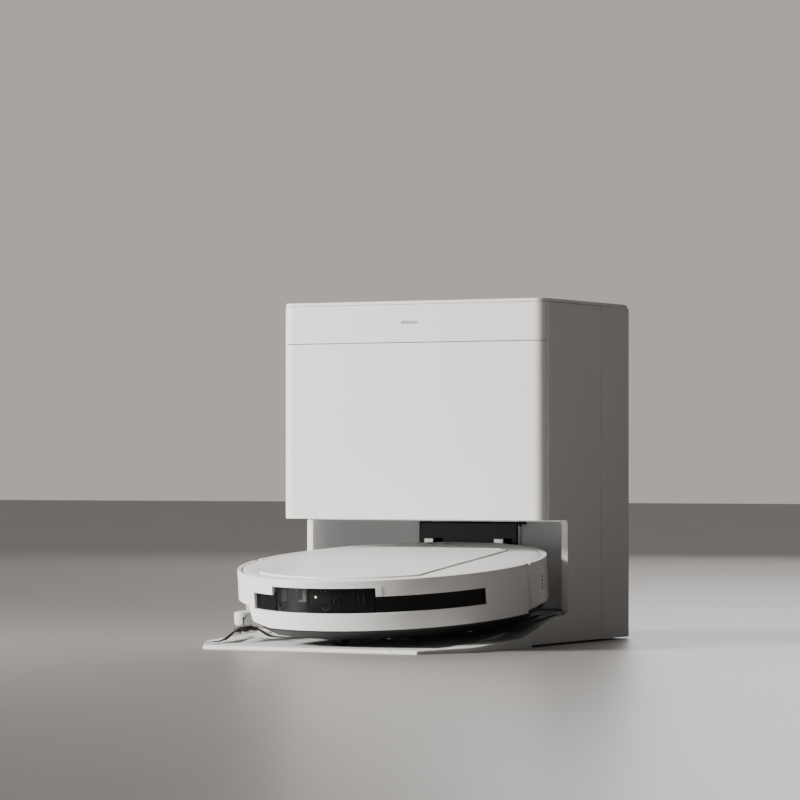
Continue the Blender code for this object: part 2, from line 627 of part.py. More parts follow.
def make_main_brush():
    """Rubber roller with six fins, between two bearings."""
    fins, outer, core = 6, 18.5 * MM, 9 * MM
    points = []
    for i in range(fins):
        middle = 2 * math.pi * i / fins
        for offset, radius in ((-0.3, core), (-0.09, core + 3 * MM), (-0.05, outer), (0.05, outer),
                               (0.09, core + 3 * MM), (0.3, core)):
            points.append((radius * math.cos(middle + offset), radius * math.sin(middle + offset)))
    brush = outline_solid("main_brush", points, -83 * MM, 83 * MM, RUBBER, ROBOT, plane="YZ")
    brush.location = BRUSH_AT
    join(brush, moved(cylinder("brush_shaft", 4 * MM, (0, 0, 0), 178 * MM, STEEL, ROBOT, axis="X", segments=16),
                      BRUSH_AT))
    guard = box("brush_guard", (-96, -82, 8.2), (96, -24, 10.7), BLACK, ROBOT)
    combine(guard, box("guard_opening", (-86, -75, 0), (86, -31, 30), BLACK, ROBOT))
    for side, sign in (("left", -1), ("right", 1)):
        a, b = sorted((sign * 30 - 1.5, sign * 30 + 1.5))
        join(guard, box(f"guard_bar_{side}", (a, -76, 8.3), (b, -73.0, 10.6), BLACK, ROBOT))


def moved(obj, place):
    obj.location = place
    return obj


def make_side_brush():
    """The swinging arm at the front corner, and the three-armed brush under its end."""
    pivot, hub = SIDE_ARM_PIVOT, SIDE_BRUSH_AT
    along = (hub - pivot).xy
    ends = []
    for centre, radius, start in ((hub.xy, 11 * MM, -90), (pivot.xy, 11 * MM, 90)):
        heading = math.atan2(along.y, along.x)
        for k in range(7):
            a = heading + math.radians(start + 30 * k)
            ends.append((centre.x + radius * math.cos(a), centre.y + radius * math.sin(a)))
    arm = outline_solid("side_brush_arm", ends, 19.5 * MM, 33.5 * MM, PALE, ROBOT)
    round_edges(arm, 3 * MM, 2, 50)
    set_origin(arm, (pivot.x, pivot.y, 0))
    hub_low, hub_high = 8.6 * MM, 18 * MM
    brush = cylinder("side_brush", 11 * MM, (hub.x, hub.y, (hub_low + hub_high) / 2), hub_high - hub_low,
                     BLACK, ROBOT, segments=20)
    for i in range(3):
        blade = make_bristle(i, 15 - 120 * i)
        join(brush, blade)
    set_origin(brush, (hub.x, hub.y, 0))


def make_bristle(index, degrees):
    """One arm of the side brush: a flat tuft that droops from the hub."""
    curve = bpy.data.curves.new(f"bristle_{index + 1}", "CURVE")
    curve.dimensions = "3D"
    curve.bevel_depth = 0.7 * MM
    curve.bevel_resolution = 1
    curve.use_fill_caps = True
    spline = curve.splines.new("POLY")
    root, droop, count = 9 * MM, 21 * MM, 8
    spline.points.add(count)
    heading = math.radians(degrees)
    for k, point in enumerate(spline.points):
        share = k / count
        out = root + (BRISTLE_REACH - root) * share
        bend = heading - 0.12 * share
        z = 7.1 * MM + 3.6 * MM * max(0, 1 - (out - root) / droop) ** 1.5
        point.co = (SIDE_BRUSH_AT.x + out * math.cos(bend), SIDE_BRUSH_AT.y + out * math.sin(bend), z, 1)
    guide = bpy.data.objects.new(f"bristle_{index + 1}_line", curve)
    bpy.context.scene.collection.objects.link(guide)
    bpy.context.view_layer.update()
    mesh = bpy.data.meshes.new_from_object(guide.evaluated_get(bpy.context.evaluated_depsgraph_get()))
    bpy.data.objects.remove(guide)
    bm = bmesh.new()
    bm.from_mesh(mesh)
    bmesh.ops.remove_doubles(bm, verts=bm.verts, dist=1e-6)
    bmesh.ops.recalc_face_normals(bm, faces=bm.faces)
    bpy.data.meshes.remove(mesh)
    return from_bmesh(f"bristle_{index + 1}", bm, BLACK, ROBOT)


def make_mops():
    carrier = box("mop_lift_bar", (-82, 78, 24), (82, 98, 29), BLACK, ROBOT, bevel=1.5)
    set_origin(carrier, (0, MOP_AT.y, 26 * MM))
    for side, sign in (("left", -1), ("right", 1)):
        profile = [(0, 23.6), (6, 23.6), (6, 9.4), (52, 9.4), (58, 7.2), (58, 1.6), (55, 0.4), (0, 0.4)]
        mop = turned(f"mop_{side}", profile, PAD, ROBOT, 40)
        mop.location = (sign * MOP_AT.x, MOP_AT.y, 0)


def make_robot_insides():
    bin_shell = box("dust_bin", (-72, -18, 42), (72, 66, 75.4), CLEAR_TANK, ROBOT, bevel=3)
    combine(bin_shell, box("bin_hollow", (-70, -16, 44), (70, 50, 90), CLEAR_TANK, ROBOT))
    box("dust_filter", (-60, 52, 48), (60, 62, 75.6), PAPER, ROBOT)
    combine(bin_shell, box("filter_slot", (-60.4, 51.6, 47.6), (60.4, 62.4, 90), CLEAR_TANK, ROBOT))
    box("battery", (4, 78, 41), (70, 122, 70), BLACK, ROBOT, bevel=2)
    cylinder("suction_motor", 25 * MM, (-36 * MM, 102 * MM, 56 * MM), 30 * MM, BLACK, ROBOT, segments=32,
             bevel=3 * MM)
    box("main_board", (-58, -138, 50), (58, -92, 52), BOARD, ROBOT)


def build():
    make_feet()
    make_front_ramp()
    make_base_plate()
    make_wash_board()
    make_side_panels()
    make_back_cover()
    make_niche_liner()
    make_docking_fittings()
    make_inner_frame()
    make_front()
    make_dock_lid()
    make_insides()
    make_hull_shell()
    make_robot_lid()
    make_bumper()
    make_bumper_window()
    make_rear_cover()
    make_chassis()
    make_sensor_bay()
    make_buttons()
    make_wheels()
    make_caster()
    make_main_brush()
    make_side_brush()
    make_mops()
    make_robot_insides()


build()
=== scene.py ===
# Looks of the robot vacuum and its station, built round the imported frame. Metres, +Z up.
import json
import math

import bpy
from mathutils import Matrix, Vector, noise

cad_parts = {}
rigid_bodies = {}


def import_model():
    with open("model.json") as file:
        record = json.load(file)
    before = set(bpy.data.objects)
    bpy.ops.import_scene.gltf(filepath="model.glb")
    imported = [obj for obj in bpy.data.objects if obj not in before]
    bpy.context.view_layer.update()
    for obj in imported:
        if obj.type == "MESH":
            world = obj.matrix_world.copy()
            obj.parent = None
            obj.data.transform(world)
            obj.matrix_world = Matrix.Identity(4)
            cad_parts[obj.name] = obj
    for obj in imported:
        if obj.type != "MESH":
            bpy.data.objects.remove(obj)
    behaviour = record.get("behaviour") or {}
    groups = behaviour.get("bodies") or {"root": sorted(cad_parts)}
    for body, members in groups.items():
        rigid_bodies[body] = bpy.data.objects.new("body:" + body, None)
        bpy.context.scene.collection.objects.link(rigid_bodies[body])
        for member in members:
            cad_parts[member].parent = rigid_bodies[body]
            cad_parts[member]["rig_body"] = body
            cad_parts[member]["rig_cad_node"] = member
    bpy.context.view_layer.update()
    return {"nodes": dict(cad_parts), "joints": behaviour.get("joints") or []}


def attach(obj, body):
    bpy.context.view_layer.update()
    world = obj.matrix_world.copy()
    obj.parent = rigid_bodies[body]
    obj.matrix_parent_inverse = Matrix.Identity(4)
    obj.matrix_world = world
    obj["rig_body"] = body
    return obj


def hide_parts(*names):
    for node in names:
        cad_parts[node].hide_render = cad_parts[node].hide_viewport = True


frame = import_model()
nodes = frame["nodes"]
joints = {joint["name"]: joint for joint in frame["joints"]}
mm = 0.001
print("frame loaded:", len(nodes), "nodes")

# The robot's own level frame: every robot piece is made there, then seated on the ramp.
robotUp = Vector(joints["mop_lift_slide"]["axis"])
driveAxle = Vector(joints["wheel_right_spin"]["pos_m"])
robotTilt = math.atan2(-robotUp.y, robotUp.z)
robotPose = (Matrix.Translation((0, driveAxle.y, driveAxle.z)) @ Matrix.Rotation(robotTilt, 4, "X")
             @ Matrix.Translation((0, 0, -36 * mm)))


# ---- selecting and shaping, as by hand

def deselectAll():
    bpy.ops.object.select_all(action="DESELECT")


def makeActive(piece):
    deselectAll()
    piece.select_set(True)
    bpy.context.view_layer.objects.active = piece


def selectFaces(piece, test):
    makeActive(piece)
    bpy.ops.object.mode_set(mode="EDIT")
    bpy.ops.mesh.select_mode(type="FACE")
    bpy.ops.mesh.select_all(action="DESELECT")
    bpy.ops.object.mode_set(mode="OBJECT")
    for face in piece.data.polygons:
        face.select = test(face)
    bpy.ops.object.mode_set(mode="EDIT")


def selectEdges(piece, test):
    makeActive(piece)
    bpy.ops.object.mode_set(mode="EDIT")
    bpy.ops.mesh.select_mode(type="EDGE")
    bpy.ops.mesh.select_all(action="DESELECT")
    bpy.ops.object.mode_set(mode="OBJECT")
    corners = piece.data.vertices
    for edge in piece.data.edges:
        edge.select = test(corners[edge.vertices[0]].co, corners[edge.vertices[1]].co)
    bpy.ops.object.mode_set(mode="EDIT")


def endEdit():
    bpy.ops.object.mode_set(mode="OBJECT")


def applyModifier(piece, kind, **settings):
    makeActive(piece)
    modifier = piece.modifiers.new(kind.lower(), kind)
    for key, value in settings.items():
        setattr(modifier, key, value)
    bpy.ops.object.modifier_apply(modifier=modifier.name)
    return piece


def roundEdges(piece, width, segments=3, angle=38):
    applyModifier(piece, "BEVEL", width=width, segments=segments, limit_method="ANGLE",
                  angle_limit=math.radians(angle), use_clamp_overlap=True)
    return smoothShade(piece)


def smoothShade(piece, angle=40):
    makeActive(piece)
    bpy.ops.object.shade_smooth_by_angle(angle=math.radians(angle))
    applyModifier(piece, "WEIGHTED_NORMAL", keep_sharp=True, weight=60)
    return piece


def applyPlace(piece):
    makeActive(piece)
    bpy.ops.object.transform_apply(location=True, rotation=True, scale=True)
    return piece


def moveTo(piece, place, turn=(0, 0, 0)):
    piece.rotation_euler = turn
    piece.location = Vector(place) * mm
    return applyPlace(piece)


# Moves a piece made in the robot's level frame onto the tilted robot.
def seatOnRobot(piece):
    applyPlace(piece)
    piece.matrix_world = robotPose
    return applyPlace(piece)


def addBlock(name, low, high):
    deselectAll()
    low, high = Vector(low) * mm, Vector(high) * mm
    bpy.ops.mesh.primitive_cube_add(size=1, location=(low + high) / 2)
    piece = bpy.context.object
    piece.name = name
    piece.scale = high - low
    return applyPlace(piece)


def addRod(name, radius, length, centre, turn=(0, 0, 0), vertices=48):
    deselectAll()
    bpy.ops.mesh.primitive_cylinder_add(vertices=vertices, radius=radius * mm, depth=length * mm,
                                        location=Vector(centre) * mm, rotation=turn)
    piece = bpy.context.object
    piece.name = name
    return applyPlace(piece)


# A small ball squashed along Y, as a lens, bead or glow.
def addBall(name, radius, flatness, segments, rings):
    deselectAll()
    bpy.ops.mesh.primitive_uv_sphere_add(segments=segments, ring_count=rings, radius=radius * mm)
    piece = bpy.context.object
    piece.name = name
    piece.scale = (1, flatness, 1)
    applyPlace(piece)
    bpy.ops.object.shade_smooth()
    return piece


def addRing(name, radius, thickness, segments, sides, turn=(0, 0, 0)):
    deselectAll()
    bpy.ops.mesh.primitive_torus_add(major_radius=radius * mm, minor_radius=thickness * mm,
                                     major_segments=segments, minor_segments=sides, rotation=turn)
    piece = bpy.context.object
    piece.name = name
    return applyPlace(piece)


# Insets the faces that pass the test, step by step: (width, depth) in millimetres.
def insetSteps(piece, test, *steps):
    selectFaces(piece, test)
    for width, depth in steps:
        bpy.ops.mesh.inset(thickness=width * mm, depth=depth * mm)
    endEdit()
    return piece


# Bevels the edges that pass the test.
def bevelEdges(piece, test, width, segments):
    selectEdges(piece, test)
    bpy.ops.mesh.bevel(offset=width * mm, segments=segments, affect="EDGES")
    endEdit()
    return piece


# A point in the robot's level frame, in millimetres: 0 degrees is straight ahead.
def onHull(radius, degrees, height=0.0):
    turn = math.radians(degrees)
    return Vector((radius * math.sin(turn), -radius * math.cos(turn), height))


# A curved wall round the robot's axis: one upright face, spun from start to end.
def addArcWall(name, inner, outer, start, end, low, high, steps=24):
    deselectAll()
    bpy.ops.mesh.primitive_plane_add(size=1, location=((inner + outer) / 2 * mm, 0, (low + high) / 2 * mm),
                                     rotation=(math.pi / 2, 0, 0))
    piece = bpy.context.object
    piece.name = name
    piece.scale = ((outer - inner) * mm, (high - low) * mm, 1)
    applyPlace(piece)
    piece.rotation_euler = (0, 0, math.radians(start - 90))
    applyPlace(piece)
    bpy.ops.object.mode_set(mode="EDIT")
    bpy.ops.mesh.select_all(action="SELECT")
    bpy.ops.mesh.spin(steps=steps, angle=math.radians(start - end), center=(0, 0, 0), axis=(0, 0, 1))
    bpy.ops.mesh.select_all(action="SELECT")
    bpy.ops.mesh.remove_doubles(threshold=0.00001)
    bpy.ops.mesh.normals_make_consistent(inside=False)
    endEdit()
    closeEnds(piece)
    return piece


def closeEnds(piece):
    makeActive(piece)
    bpy.ops.object.mode_set(mode="EDIT")
    bpy.ops.mesh.select_mode(type="VERT")
    bpy.ops.mesh.select_all(action="DESELECT")
    bpy.ops.mesh.select_non_manifold(extend=False)
    bpy.ops.mesh.fill_holes(sides=0)
    bpy.ops.mesh.select_all(action="SELECT")
    bpy.ops.mesh.normals_make_consistent(inside=False)
    endEdit()


def joinPieces(name, pieces):
    deselectAll()
    for piece in pieces:
        piece.select_set(True)
    bpy.context.view_layer.objects.active = pieces[0]
    bpy.ops.object.join()
    pieces[0].name = name
    return pieces[0]


def copyPiece(piece, name):
    twin = piece.copy()
    twin.data = piece.data.copy()
    twin.name = name
    bpy.context.scene.collection.objects.link(twin)
    return twin


def cutWith(piece, cutter):
    applyModifier(piece, "BOOLEAN", operation="DIFFERENCE", solver="EXACT", object=cutter)
    bpy.data.objects.remove(cutter, do_unlink=True)
    return piece


# ---- shader groups that several finishes share

def newGroup(name, inputs, outputs):
    group = bpy.data.node_groups.new(name, "ShaderNodeTree")
    for label, value in inputs.items():
        socket = group.interface.new_socket(label, in_out="INPUT", socket_type="NodeSocketFloat")
        socket.default_value = value
    for label, kind in outputs.items():
        group.interface.new_socket(label, in_out="OUTPUT", socket_type=kind)
    return group, group.nodes.new("NodeGroupInput"), group.nodes.new("NodeGroupOutput")


# A node with its settings, its fixed inputs and its links, as {"input": output socket}.
def addNode(tree, kind, settings=None, links=None, **values):
    node = tree.nodes.new(kind)
    for key, value in (settings or {}).items():
        setattr(node, key, value)
    for label, value in values.items():
        node.inputs[label.replace("_", " ")].default_value = value
    for label, source in (links or {}).items():
        tree.links.new(source, node.inputs[label])
    return node


def placeOf(tree):
    return addNode(tree, "ShaderNodeTexCoord").outputs["Object"]


def addNoise(tree, place, scale, detail=2.0, **values):
    return addNode(tree, "ShaderNodeTexNoise", links={"Vector": place}, Scale=scale, Detail=detail,
                   **values).outputs["Fac"]


def feed(tree, shader, **sources):
    for label, source in sources.items():
        tree.links.new(source, shader.inputs[label.replace("_", " ")])


def mathNode(tree, operation, first, second, clamp=False):
    node = tree.nodes.new("ShaderNodeMath")
    node.operation = operation
    node.use_clamp = clamp
    for socket, value in zip(node.inputs, (first, second)):
        if isinstance(value, (int, float)):
            socket.default_value = value
        else:
            tree.links.new(value, socket)
    return node.outputs[0]


# Fine texture of moulded plastic: a bumped normal, and roughness that drifts a little.
def buildMouldedGrain():
    inputs = {"Scale": 1500, "Depth": 0.1, "Roughness": 0.4, "Drift": 0.06}
    outputs = {"Normal": "NodeSocketVector", "Roughness": "NodeSocketFloat"}
    group, given, result = newGroup("mouldedGrain", inputs, outputs)
    place = placeOf(group)
    grain = addNode(group, "ShaderNodeTexNoise", links={"Vector": place, "Scale": given.outputs["Scale"]},
                    Detail=3)
    drift = addNoise(group, place, 14, 3)
    bump = addNode(group, "ShaderNodeBump", Distance=0.0002,
                   links={"Height": grain.outputs["Fac"], "Strength": given.outputs["Depth"]})
    centred = mathNode(group, "SUBTRACT", drift, 0.5)
    spread = mathNode(group, "MULTIPLY", centred, given.outputs["Drift"])
    grainy = mathNode(group, "MULTIPLY", mathNode(group, "SUBTRACT", grain.outputs["Fac"], 0.5), 0.08)
    drifted = mathNode(group, "ADD", given.outputs["Roughness"], spread)
    total = mathNode(group, "ADD", drifted, grainy, clamp=True)
    group.links.new(bump.outputs["Normal"], result.inputs["Normal"])
    group.links.new(total, result.inputs["Roughness"])
    return group


# Mask of rubbed outer edges: where the rounded normal leaves the true one, broken by noise.
def buildEdgeWear():
    group, given, result = newGroup("edgeWear", {"Radius": 0.001, "Amount": 0.5}, {"Mask": "NodeSocketFloat"})
    place = placeOf(group)
    rounded = addNode(group, "ShaderNodeBevel", {"samples": 4}, {"Radius": given.outputs["Radius"]})
    true = addNode(group, "ShaderNodeNewGeometry").outputs["Normal"]
    dot = addNode(group, "ShaderNodeVectorMath", {"operation": "DOT_PRODUCT"})
    group.links.new(rounded.outputs["Normal"], dot.inputs[0])
    group.links.new(true, dot.inputs[1])
    edge = mathNode(group, "MULTIPLY", mathNode(group, "SUBTRACT", 1.0, dot.outputs["Value"]), 6, clamp=True)
    patches = addNoise(group, place, 60, 4)
    broken = mathNode(group, "MULTIPLY", edge, patches)
    group.links.new(mathNode(group, "MULTIPLY", broken, given.outputs["Amount"]), result.inputs["Mask"])
    return group


# Mask of dust on faces that look up, thicker in soft patches.
def buildSettledDust():
    group, given, result = newGroup("settledDust", {"Amount": 0.1}, {"Mask": "NodeSocketFloat"})
    place = placeOf(group)
    normal = addNode(group, "ShaderNodeNewGeometry").outputs["Normal"]
    upward = addNode(group, "ShaderNodeSeparateXYZ", links={"Vector": normal}).outputs["Z"]
    facing = mathNode(group, "MULTIPLY", mathNode(group, "SUBTRACT", upward, 0.6), 2.5, clamp=True)
    patches = addNoise(group, place, 22, 6, Roughness=0.6)
    specks = addNoise(group, place, 900, 2)
    spread = mathNode(group, "MULTIPLY", patches, specks)
    group.links.new(mathNode(group, "MULTIPLY", mathNode(group, "MULTIPLY", facing, spread),
                             given.outputs["Amount"]), result.inputs["Mask"])
    return group


mouldedGrain = buildMouldedGrain()
edgeWear = buildEdgeWear()
settledDust = buildSettledDust()


def useGroup(tree, group, **values):
    node = tree.nodes.new("ShaderNodeGroup")
    node.node_tree = group
    for label, value in values.items():
        node.inputs[label].default_value = value
    return node


def mixColour(tree, factor, first, second):
    node = tree.nodes.new("ShaderNodeMix")
    node.data_type = "RGBA"
    for socket, value in ((node.inputs["Factor"], factor), (node.inputs[6], first), (node.inputs[7], second)):
        if isinstance(value, tuple):
            socket.default_value = (*value, 1)
        elif isinstance(value, (int, float)):
            socket.default_value = value
        else:
            tree.links.new(value, socket)
    return node.outputs[2]


def newFinish(name, **fixed):
    made = bpy.data.materials.new(name)
    made.use_nodes = True
    shader = made.node_tree.nodes["Principled BSDF"]
    for label, value in fixed.items():
        shader.inputs[label.replace("_", " ")].default_value = value
    return made, made.node_tree, shader


# Moulded plastic: two close shades in soft clouds, rubbed edges, a little dust, a fine grain.
def mouldedPlastic(name, colour, second, rough, grain=1500, depth=0.1, wear=0.4, wearColour=None, dust=0.1,
                   mottle=0.5, **fixed):
    made, tree, shader = newFinish(name, **fixed)
    place = placeOf(tree)
    clouds = addNoise(tree, place, 9, 4)
    shade = mathNode(tree, "MULTIPLY", clouds, mottle)
    base = mixColour(tree, shade, colour, second)
    worn = useGroup(tree, edgeWear, Amount=wear)
    rubbed = mixColour(tree, worn.outputs["Mask"], base, wearColour or second)
    dusty = useGroup(tree, settledDust, Amount=dust)
    top = mixColour(tree, dusty.outputs["Mask"], rubbed, (0.52, 0.5, 0.47))
    surface = useGroup(tree, mouldedGrain, Scale=grain, Depth=depth, Roughness=rough)
    feed(tree, shader, Base_Color=top, Roughness=surface.outputs["Roughness"],
         Normal=surface.outputs["Normal"])
    return made


# The side panels' satin white with the faint upright streaks of their moulding flow.
def makeSidePanelFinish():
    made = mouldedPlastic("sidePanelWhite", (0.8, 0.795, 0.785), (0.74, 0.735, 0.725), 0.4, grain=1300,
                          depth=0.12)
    tree = made.node_tree
    shader = tree.nodes["Principled BSDF"]
    place = placeOf(tree)
    stretched = addNode(tree, "ShaderNodeMapping", links={"Vector": place}, Scale=(160, 160, 9))
    streaks = addNoise(tree, stretched.outputs["Vector"], 1, 3)
    given = shader.inputs["Base Color"].links[0].from_socket
    shade = mathNode(tree, "MULTIPLY", streaks, 0.16)
    feed(tree, shader, Base_Color=mixColour(tree, shade, given, (0.6, 0.59, 0.57)))
    return made


# Looped microfibre of the mop pads: small rounded tufts, with painted shade darkening the gaps between them.
def makeMicrofibre():
    made, tree, shader = newFinish("microfibrePad", Sheen_Weight=0.6, Sheen_Roughness=0.5, Roughness=0.95)
    place = placeOf(tree)
    loops = addNode(tree, "ShaderNodeTexVoronoi", {"feature": "F1"}, {"Vector": place}, Scale=520)
    clouds = addNoise(tree, place, 30, 4)
    height = mathNode(tree, "SUBTRACT", 1.0, loops.outputs["Distance"])
    # Painted shade: the colour darkens from each tuft's middle out to the gaps between tufts.
    tone = mixColour(tree, loops.outputs["Distance"], (0.2, 0.22, 0.26), (0.07, 0.08, 0.1))
    stained = mixColour(tree, mathNode(tree, "MULTIPLY", clouds, 0.35), tone, (0.13, 0.12, 0.11))
    bump = addNode(tree, "ShaderNodeBump", links={"Height": height}, Strength=0.8, Distance=0.0012)
    feed(tree, shader, Base_Color=stained, Normal=bump.outputs["Normal"])
    return made


def makePlatedSteel():
    made, tree, shader = newFinish("platedContact", Metallic=1.0)
    place = placeOf(tree)
    stretched = addNode(tree, "ShaderNodeMapping", links={"Vector": place}, Scale=(40, 2500, 2500))
    lines = addNoise(tree, stretched.outputs["Vector"], 1, 3)
    rough = mathNode(tree, "ADD", mathNode(tree, "MULTIPLY", lines, 0.25), 0.12)
    feed(tree, shader, Base_Color=mixColour(tree, lines, (0.72, 0.71, 0.69), (0.5, 0.49, 0.47)),
         Roughness=rough)
    return made


# The smoked cover in front of the sensors: dark, glossy, and clear enough to show what is behind it.
def makeSmokedCover():
    made, tree, shader = newFinish("smokedCover", IOR=1.4, Specular_IOR_Level=0.3)
    place = placeOf(tree)
    haze = addNoise(tree, place, 26, 3)
    surface = useGroup(tree, mouldedGrain, Scale=400, Depth=0.01, Roughness=0.05, Drift=0.03)
    feed(tree, shader, Base_Color=mixColour(tree, haze, (0.005, 0.005, 0.006), (0.01, 0.01, 0.01)),
         Alpha=mathNode(tree, "ADD", mathNode(tree, "MULTIPLY", haze, 0.06), 0.38),
         Roughness=surface.outputs["Roughness"])
    return made


def makeTankPlastic():
    made, tree, shader = newFinish("smokedTankPlastic", Base_Color=(0.5, 0.54, 0.57, 1), IOR=1.46,
                                   Transmission_Weight=0.75)
    surface = useGroup(tree, mouldedGrain, Scale=700, Depth=0.08, Roughness=0.2, Drift=0.1)
    feed(tree, shader, Roughness=surface.outputs["Roughness"], Normal=surface.outputs["Normal"])
    return made


def makeFilterPaper():
    made, tree, shader = newFinish("nonWovenPaper", Roughness=0.95, Sheen_Weight=0.2)
    place = placeOf(tree)
    fibres = addNoise(tree, place, 700, 5, Distortion=2.5)
    softDarkPatches = addNoise(tree, place, 28, 3)
    bump = addNode(tree, "ShaderNodeBump", links={"Height": fibres}, Strength=0.4, Distance=0.0005)
    tone = mixColour(tree, fibres, (0.8, 0.78, 0.72), (0.6, 0.58, 0.53))
    # The paper turns darker in soft patches at random.
    shaded = mixColour(tree, mathNode(tree, "MULTIPLY", softDarkPatches, 0.3), tone, (0.5, 0.47, 0.42))
    feed(tree, shader, Base_Color=shaded, Normal=bump.outputs["Normal"])
    return made


def makeGlow(name, colour, strength):
    made, tree, shader = newFinish(name, Roughness=0.3, Emission_Strength=strength)
    place = placeOf(tree)
    cloud = addNoise(tree, place, 900)
    tone = mixColour(tree, cloud, colour, tuple(0.85 * c for c in colour))
    feed(tree, shader, Base_Color=tone, Emission_Color=tone)
    return made


# Coated lens: near black, with a painted violet reflection of its coating in the base colour, drifting across
# the dome.
def makeLensGlass():
    made, tree, shader = newFinish("coatedLensPaintedGlint", Coat_Weight=1.0, Coat_Roughness=0.02, IOR=1.6)
    place = placeOf(tree)
    drift = addNoise(tree, place, 120)
    # The violet patches are a painted reflection; the same noise also drifts the roughness a little.
    feed(tree, shader, Base_Color=mixColour(tree, drift, (0.004, 0.003, 0.01), (0.05, 0.015, 0.19)),
         Roughness=mathNode(tree, "MULTIPLY", drift, 0.12))
    return made


finish = {
    "shellWhite": mouldedPlastic("satinWhiteShell", (0.83, 0.828, 0.82), (0.79, 0.785, 0.775), 0.36,
                                 grain=1600, depth=0.08, wear=0.25, wearColour=(0.9, 0.9, 0.89), dust=0.12),
    "panelWhite": makeSidePanelFinish(),
    "linerGrey": mouldedPlastic("pearlGreyLiner", (0.78, 0.785, 0.79), (0.7, 0.705, 0.71), 0.46, grain=1100,
                                depth=0.16, dust=0.2),
    "midGrey": mouldedPlastic("warmMidGrey", (0.42, 0.42, 0.415), (0.36, 0.36, 0.355), 0.5, dust=0.1),
    "matteBlack": mouldedPlastic("matteBlackMoulding", (0.013, 0.013, 0.014), (0.026, 0.026, 0.025), 0.55,
                                 grain=1000, depth=0.25, wear=0.5, wearColour=(0.07, 0.07, 0.07), dust=0.12),
    "glossBlack": mouldedPlastic("polishedBlackWindow", (0.0035, 0.0035, 0.004), (0.007, 0.007, 0.008), 0.2,
                                 grain=300, depth=0.01, wear=0.15, wearColour=(0.03, 0.03, 0.03), dust=0.02,
                                 Specular_IOR_Level=0.22),
    "rubber": mouldedPlastic("softRubber", (0.024, 0.024, 0.024), (0.05, 0.048, 0.045), 0.78, grain=800,
                             depth=0.4, wear=0.9, wearColour=(0.12, 0.115, 0.11), dust=0.5),
    "bristle": mouldedPlastic("nylonBristle", (0.012, 0.012, 0.012), (0.03, 0.03, 0.03), 0.42, grain=900,
                              depth=0.05, wear=0.1, dust=0.15),
    "board": mouldedPlastic("lacqueredBoard", (0.02, 0.12, 0.055), (0.03, 0.18, 0.08), 0.3, grain=900),
    "innerPanel": mouldedPlastic("smokedInnerPanel", (0.014, 0.014, 0.015), (0.024, 0.024, 0.023), 0.4,
                                 dust=0),
    "cameraPlate": mouldedPlastic("darkCameraPlate", (0.05, 0.05, 0.052), (0.075, 0.075, 0.073), 0.35,
                                  dust=0),
    "tabGrey": mouldedPlastic("translucentTabGrey", (0.42, 0.43, 0.44), (0.34, 0.35, 0.36), 0.3, dust=0),
    "guideGrey": mouldedPlastic("paleGuideGrey", (0.78, 0.79, 0.8), (0.7, 0.71, 0.72), 0.35, dust=0),
    "podGrey": mouldedPlastic("paleArmGrey", (0.7, 0.705, 0.71), (0.62, 0.625, 0.63), 0.42, depth=0.12),
    "keyGrey": mouldedPlastic("paleKeyGrey", (0.66, 0.665, 0.67), (0.6, 0.6, 0.605), 0.36, depth=0.1),
    "lampRing": mouldedPlastic("lampRingGreen", (0.03, 0.11, 0.035), (0.05, 0.16, 0.05), 0.4, dust=0),
    "steel": makePlatedSteel(),
    "pad": makeMicrofibre(),
    "smoked": makeSmokedCover(),
    "tank": makeTankPlastic(),
    "paper": makeFilterPaper(),
    "ledGreen": makeGlow("ledGreen", (0.75, 1.0, 0.7), 6.0),
    "lens": makeLensGlass(),
}
print("finishes ready:", len(finish))


def paint(piece, key):
    piece.data.materials.clear()
    piece.data.materials.append(finish[key])
    return piece


# Gives a finished piece its finish and the body it rides on.
def wear(piece, key, body, slot):
    paint(piece, key)
    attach(piece, body)
    return piece


# ---- camera, lights and floor

camera = {"place": (2.032, -3.7761, 0.2011), "turn": 28.4, "lens": 169.47, "shiftY": 66.4 / 800}


def setCamera():
    data = bpy.data.cameras.new("mainCamera")
    data.lens = camera["lens"]
    data.sensor_width = 36
    data.shift_y = camera["shiftY"]
    eye = bpy.data.objects.new("mainCamera", data)
    eye.location = camera["place"]
    eye.rotation_euler = (math.pi / 2, 0, math.radians(camera["turn"]))
    bpy.context.scene.collection.objects.link(eye)
    bpy.context.scene.camera = eye


lights = {
    "key": {"kind": "SUN", "place": (-3.3, -2.5, 2.0), "size": math.radians(11), "power": 4.8,
            "tint": (1, 0.97, 0.93)},
    "side": {"kind": "AREA", "place": (-1.3, -0.95, 0.85), "size": 0.6, "power": 34, "tint": (1, 0.98, 0.95)},
    "sky": {"kind": "AREA", "place": (-0.4, -0.6, 3.4), "size": 3.0, "power": 14, "tint": (1, 0.99, 0.97)},
    "low": {"kind": "AREA", "place": (-1.9, -2.7, 0.55), "size": 1.2, "power": 9, "tint": (1, 0.98, 0.96)},
    "back": {"kind": "AREA", "place": (-0.6, 3.6, 1.7), "size": 2.2, "power": 60, "tint": (0.97, 0.98, 1)},
}


